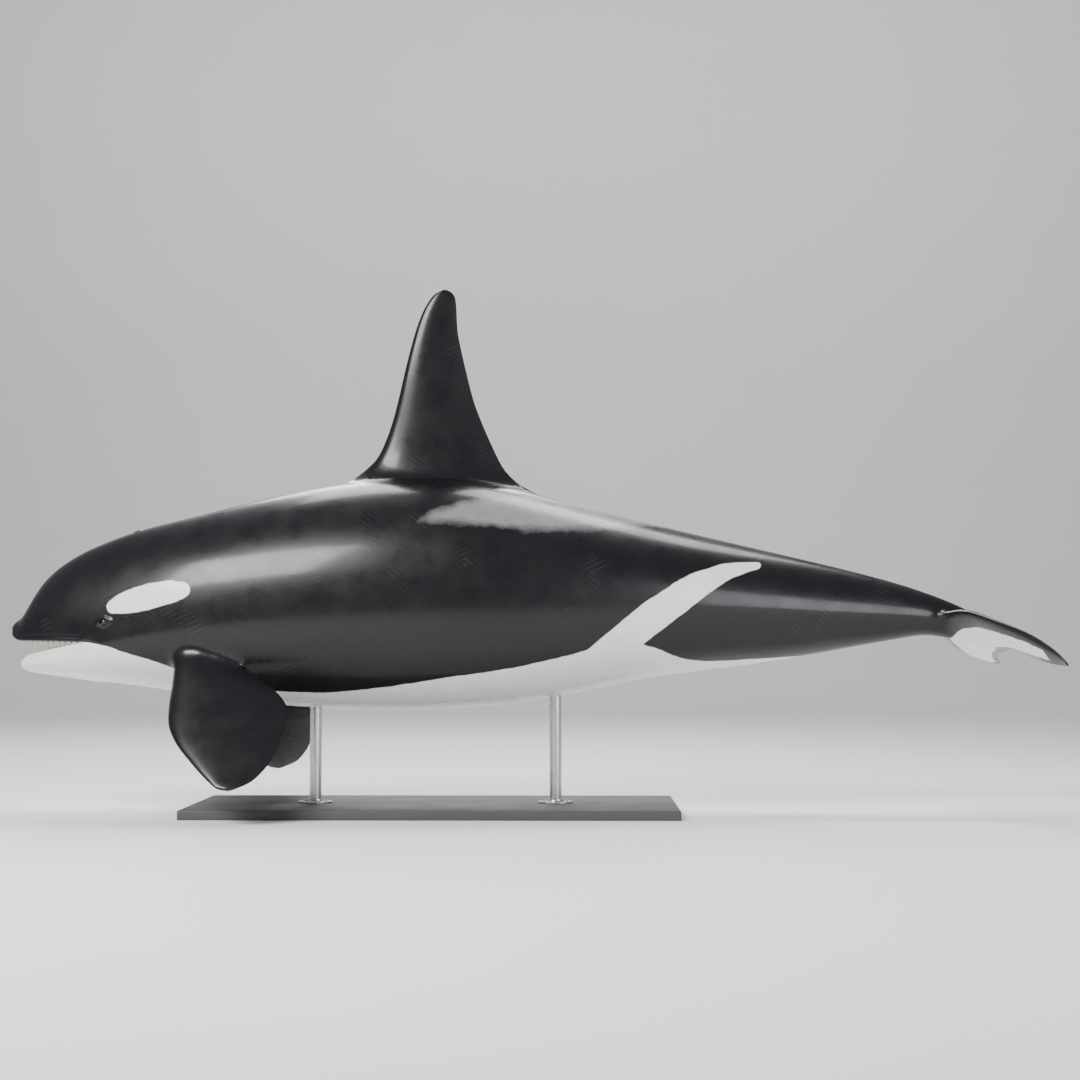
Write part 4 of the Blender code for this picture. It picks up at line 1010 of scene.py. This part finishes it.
skin.data.materials.clear()
skin.data.materials.append(hide_finish)
for v in skin.data.vertices:
    v.co.x += SHIFT
skin.data.update()
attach(skin, "root")
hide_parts("head", "lower_jaw", "chest", "midbody", "hindbody", "tail_stock",
            "dorsal_fin", "flipper_left", "flipper_right", "fluke_left", "fluke_right")

# Teeth: blunt ivory pegs, thirteen along each side of both jaws, curving a little back
# into the mouth. They stand in the gums, and wear unevenly with age.
TEETH_A_SIDE, TEETH_START = 13, 0.060
TOOTH_RADIUS, TOOTH_HEIGHT, TOOTH_INSET, TOOTH_SEAT = 0.0115, 0.038, 0.030, 0.010
# How far in front of the mouth's corner each row ends, and how its teeth crowd backward.
LAST_UPPER, LAST_LOWER, BACK_CROWDING = 0.085, 0.12, 1.25
TEETH_SEED = 11


def tooth_tree():
    """One curved peg, set on each point along its own way and at its own size."""
    tree, inp = new_maker("tooth_rows", ("Radius", "Height", "Curl", "Wear"))
    ball = add_node(tree, "GeometryNodeMeshUVSphere", Segments=14, Rings=12, Radius=1.0)
    spot = tree.nodes.new("GeometryNodeInputPosition")
    parts = add_node(tree, "ShaderNodeSeparateXYZ", Vector=spot.outputs[0])
    taper = sums(tree, "SUBTRACT", 1.0, sums(tree, "MULTIPLY", parts.outputs["Z"], 0.30))
    bend = sums(tree, "MULTIPLY", sums(tree, "POWER", sums(tree, "MAXIMUM",
                parts.outputs["Z"], 0.0), 2.0), inp["Curl"])
    shape = add_node(tree, "ShaderNodeCombineXYZ",
                     X=sums(tree, "ADD", sums(tree, "MULTIPLY", parts.outputs["X"], taper), bend),
                     Y=sums(tree, "MULTIPLY", parts.outputs["Y"], taper),
                     Z=parts.outputs["Z"])
    shaped = add_node(tree, "GeometryNodeSetPosition", Geometry=ball.outputs["Mesh"],
                      Position=shape.outputs[0])
    smooth = add_node(tree, "GeometryNodeSetShadeSmooth", Geometry=shaped.outputs[0])
    told = []
    for label, kind in (("way", "FLOAT_VECTOR"), ("size", "FLOAT")):
        node = tree.nodes.new("GeometryNodeInputNamedAttribute")
        node.data_type = kind
        node.inputs["Name"].default_value = label
        told.append([s for s in node.outputs if s.enabled and s.name == "Attribute"][0])
    way_out, size_out = told
    aim = tree.nodes.new("FunctionNodeAlignRotationToVector")
    aim.axis = "Z"
    tree.links.new(way_out, aim.inputs["Vector"])
    number = chance(tree, inp["Seed"], 1.0)
    worn = sums(tree, "SUBTRACT", 1.0, sums(tree, "MULTIPLY", number, inp["Wear"]))
    radius = sums(tree, "MULTIPLY", inp["Radius"], size_out)
    height = sums(tree, "MULTIPLY", sums(tree, "MULTIPLY", inp["Height"], size_out), worn)
    scale = add_node(tree, "ShaderNodeCombineXYZ", X=radius,
                     Y=sums(tree, "MULTIPLY", radius, 0.85), Z=height)
    set_on_points(tree, inp, smooth.outputs[0], aim.outputs[0], Scale=scale.outputs[0])
    return tree


ivory, tree, shader = new_finish("ivory", (0.78, 0.72, 0.58, 1), 0.3)
place = scaled_place(tree, (1, 1, 1))
stain = grain(tree, place, 70.0, 5.0)
shade = blend_colours(tree, spread(tree, stain, 0.3, 0.7, 0, 1), (0.56, 0.47, 0.32, 1),
                      (0.80, 0.75, 0.63, 1))
dress(tree, shader, shade, spread(tree, stain, 0.3, 0.7, 0.22, 0.40))
raise_surface(tree, shader, grain(tree, scaled_place(tree, (1, 1, 0.2)), 400.0, 2.0),
              0.3, 0.0006)


def tooth_points(upper):
    """Where the pegs of one jaw stand, which way they point and how large each is."""
    width = half_width if upper else jaw_half_width
    lip = widest_z if upper else lower_lip_z
    first = (SNOUT[0] if upper else JAW_TIP[0]) + TEETH_START
    last = CORNER_X - (LAST_UPPER if upper else LAST_LOWER)
    rng = random.Random(TEETH_SEED + upper)
    spots, ways, sizes = [], [], []
    for side in (-1, 1):
        for i in range(TEETH_A_SIDE):
            share = (i + (0.5 if upper else 0.15)) / TEETH_A_SIDE
            x = first + (last - first) * share ** BACK_CROWDING
            slope = float(width(x + 0.004) - width(x - 0.004)) / 0.008
            inward = Vector((slope, -1, 0)).normalized() * min(TOOTH_INSET,
                                                               0.3 * float(width(x)))
            down = -1 if upper else 1
            spot = Vector((x + inward.x, side * (float(width(x)) + inward.y), 0))
            spot.z = float(lip(spot.x)) - down * TOOTH_SEAT
            spots.append((spot.x + SHIFT, spot.y, spot.z))
            ways.append(Vector((inward.x * 1.5, side * inward.y * 1.5, down)).normalized())
            sizes.append((1 - 0.35 * abs(2 * share - 0.9) ** 2) * rng.uniform(0.94, 1.06))
    return spots, ways, sizes


rows = tooth_tree()
for name, upper in (("teeth_upper", 1), ("teeth_lower", 0)):
    spots, ways, sizes = tooth_points(upper)
    teeth = grown_from_points(name, spots, rows, {
        "Radius": TOOTH_RADIUS, "Height": TOOTH_HEIGHT, "Curl": 0.35, "Wear": 0.18,
        "Seed": 5 + upper, "Finish": ivory},
        (("way", "FLOAT_VECTOR", ways), ("size", "FLOAT", sizes)))
    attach(teeth, "root")

# Tongue: a broad low muscle on the floor of the mouth, pink grey, with a shallow furrow
# down its middle and a finely pebbled wet skin.
TONGUE_TIP, TONGUE_END = -3.640, -3.290
TONGUE_WIDTH_SHARE, TONGUE_THICKNESS = 0.46, 0.036

mesh = bmesh.new()
rings = []
for share in 0.5 - 0.5 * np.cos(np.linspace(0.12, math.pi - 0.08, 40)):
    x = TONGUE_TIP + (TONGUE_END - TONGUE_TIP) * share
    swell = math.sqrt(max(1 - abs(2 * share - 1) ** 3, 0.0))
    w = TONGUE_WIDTH_SHARE * float(jaw_half_width(x)) * swell
    h = TONGUE_THICKNESS / 2 * swell
    near_corner = min(1, (CORNER_X - x) / (CORNER_X - JAW_TIP[0]) / 0.15)
    z = float(lower_lip_z(x)) - MOUTH_FLOOR_DROP * near_corner + h + 0.004
    ring = []
    for a in np.linspace(0, 2 * math.pi, 57)[:-1]:
        y = w * math.cos(a)
        furrow = 0.005 * math.exp(-(y / 0.012) ** 2) if math.sin(a) > 0 else 0
        edge = 0.0015 * math.sin(x * 170 + 3 * math.sin(y * 40)) * abs(math.cos(a)) ** 4
        ring.append(mesh.verts.new((x + SHIFT, y + math.copysign(edge, y),
                                    z + h * math.sin(a) - furrow * swell)))
    rings.append(ring)
for a, b in zip(rings, rings[1:]):
    join_rings(mesh, a, b)
for ring in (rings[0], rings[-1]):
    close_to_point(mesh, ring, mesh.verts.new(sum((v.co for v in ring), Vector()) / len(ring)))
bmesh.ops.recalc_face_normals(mesh, faces=mesh.faces)
flesh, tree, shader = new_finish("wet_tongue", (0.45, 0.20, 0.19, 1), 0.35)
place = scaled_place(tree, (1, 1, 1))
shade = blend_colours(tree, grain(tree, place, 18.0, 5.0), (0.34, 0.15, 0.145, 1),
                      (0.55, 0.29, 0.27, 1))
dress(tree, shader, shade, spread(tree, grain(tree, place, 40.0), 0.3, 0.7, 0.24, 0.45))
raise_surface(tree, shader, grain(tree, place, 320.0, 2.0), 0.5, 0.0015)
shader.inputs["Subsurface Weight"].default_value = 0.08
shader.inputs["Subsurface Radius"].default_value = (0.012, 0.004, 0.003)
tongue = put_in_scene("tongue_wet", mesh, flesh)
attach(tongue, "root")
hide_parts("tongue")

# Eyes: dark brown globes 68 mm across with a wide pupil under a clear bulging front,
# sunk between the lids, behind and above the corner of the mouth.
PUPIL_TURN, IRIS_TURN = 0.30, 0.80

iris_finish, tree, shader = new_finish("dark_eye", (0.02, 0.012, 0.008, 1), 0.08)
place = scaled_place(tree, (1, 1, 1))
ring = field(tree, "from_axis")
threads = grain(tree, place, 190.0, 5.0, 0.7)
brown = blend_colours(tree, spread(tree, threads, 0.35, 0.65, 0, 1), (0.008, 0.0048, 0.004, 1),
                      (0.030, 0.017, 0.011, 1))
sclera = blend_colours(tree, grain(tree, place, 60.0), (0.045, 0.033, 0.030, 1),
                        (0.10, 0.078, 0.07, 1))
shade = blend_colours(tree, spread(tree, ring, PUPIL_TURN - 0.03, PUPIL_TURN + 0.03, 0, 1),
                      (0.002, 0.002, 0.003, 1), brown)
shade = blend_colours(tree, spread(tree, ring, IRIS_TURN - 0.05, IRIS_TURN + 0.05, 0, 1),
                      shade, sclera)
dress(tree, shader, shade, spread(tree, threads, 0.3, 0.7, 0.05, 0.11))
shader.inputs["Coat Weight"].default_value = 1.0
shader.inputs["Coat Roughness"].default_value = 0.02
raise_surface(tree, shader, threads, 0.05, 0.0004)

for side, name in ((-1, "eye_left"), (1, "eye_right")):
    mesh = bmesh.new()
    layer = mesh.verts.layers.float.new("from_axis")
    bmesh.ops.create_uvsphere(mesh, u_segments=64, v_segments=40, radius=EYE_RADIUS)
    facing = Vector((eye_way.x, side * eye_way.y, eye_way.z))
    spin = Vector((0, 0, 1)).rotation_difference(facing).to_matrix()
    centre = eye_spots[0 if side < 0 else 1] - facing * EYE_SINK + Vector((SHIFT, 0, 0))
    for v in mesh.verts:
        angle = math.acos(max(-1.0, min(1.0, v.co.z / EYE_RADIUS)))
        v[layer] = angle
        bulge = 0.0022 * float(smooth_step((0.75 - angle) / 0.5))
        v.co = spin @ (v.co * (1 + bulge / EYE_RADIUS)) + centre
    eye = put_in_scene(name + "_globe", mesh, iris_finish)
    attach(eye, "root")
    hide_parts(name)

# Studio: a pale seamless floor that curves up far behind the animal, with five large
# soft lamps and a dim, even sky.
SWEEP_FROM, SWEEP_RADIUS, SWEEP_TOP = 26.0, 8.0, 26.0

mesh = bmesh.new()
profile = [(-40.0, 0.0), (-12.0, 0.0), (0.0, 0.0), (SWEEP_FROM, 0.0)]
for a in np.linspace(0, math.pi / 2, 33)[1:]:
    profile.append((SWEEP_FROM + SWEEP_RADIUS * math.sin(a),
                    SWEEP_RADIUS * (1 - math.cos(a))))
profile.append((SWEEP_FROM + SWEEP_RADIUS, SWEEP_TOP))
rings = [[mesh.verts.new((x, y, z)) for x in np.linspace(-60, 60, 25)] for y, z in profile]
for a, b in zip(rings, rings[1:]):
    for i in range(len(a) - 1):
        mesh.faces.new((a[i], a[i + 1], b[i + 1], b[i]))
pale, tree, shader = new_finish("pale_floor", (0.62, 0.62, 0.61, 1), 0.75)
clouds = grain(tree, scaled_place(tree, (1, 1, 1)), 0.4, 3.0)
shade = blend_colours(tree, clouds, (0.80, 0.805, 0.81, 1), (0.85, 0.85, 0.845, 1))
tree.links.new(shade, shader.inputs["Base Color"])
floor = put_in_scene("studio_floor", mesh, pale)
floor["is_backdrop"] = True


def soft_lamp(name, place, target, size, power, colour):
    lamp = bpy.data.lights.new(name, "AREA")
    lamp.shape = "RECTANGLE"
    lamp.size, lamp.size_y = size
    lamp.energy = power
    lamp.color = colour
    obj = bpy.data.objects.new(name, lamp)
    obj.location = place
    way = Vector(target) - Vector(place)
    obj.rotation_euler = way.to_track_quat("-Z", "Y").to_euler()
    bpy.context.scene.collection.objects.link(obj)


soft_lamp("key", (-6.5, -9.0, 8.5), (-0.5, 0, 1.5), (6.0, 4.0), 2300, (1.0, 0.98, 0.95))
soft_lamp("fill", (8.5, -9.5, 3.5), (0.5, 0, 1.5), (5.0, 5.0), 620, (0.94, 0.97, 1.0))
soft_lamp("top", (0.5, 3.0, 9.5), (0, 0, 1.8), (9.0, 3.0), 1000, (1.0, 1.0, 1.0))
soft_lamp("rear", (-2.0, 12.0, 12.0), (0, 0, 1.6), (8.0, 5.0), 1600, (0.97, 0.98, 1.0))
soft_lamp("backdrop", (0, 20.0, 19.0), (0, 34.0, 5.0), (34.0, 6.0), 2500, (1.0, 1.0, 1.0))
world = bpy.data.worlds.new("studio")
world.use_nodes = True
sky = world.node_tree.nodes["Background"]
sky.inputs["Color"].default_value = (0.90, 0.93, 0.97, 1)
sky.inputs["Strength"].default_value = 0.28
bpy.context.scene.world = world

# Camera: 1.25 m above the floor and 15 m from the left side, nearly square to it and
# tilted up a little, so that the whole animal is in the picture.
CAMERA_PLACE = (0.344, -15.175, 1.250)
CAMERA_PITCH, CAMERA_YAW = 2.982, 0.795
CAMERA_LENS, SENSOR = 67.18, 36.0
lens = bpy.data.cameras.new("camera")
lens.sensor_width = SENSOR
lens.sensor_fit = "HORIZONTAL"
lens.lens = CAMERA_LENS
lens.clip_end = 200.0
camera = bpy.data.objects.new("camera", lens)
camera.location = (CAMERA_PLACE[0] + SHIFT, CAMERA_PLACE[1], CAMERA_PLACE[2])
camera.rotation_euler = (math.radians(90 + CAMERA_PITCH), 0, math.radians(CAMERA_YAW))
bpy.context.scene.collection.objects.link(camera)
bpy.context.scene.camera = camera

sizes = {"cad": [list(map(float, c)) for c in cad_box],
         "visual": [list(map(float, c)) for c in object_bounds()]}
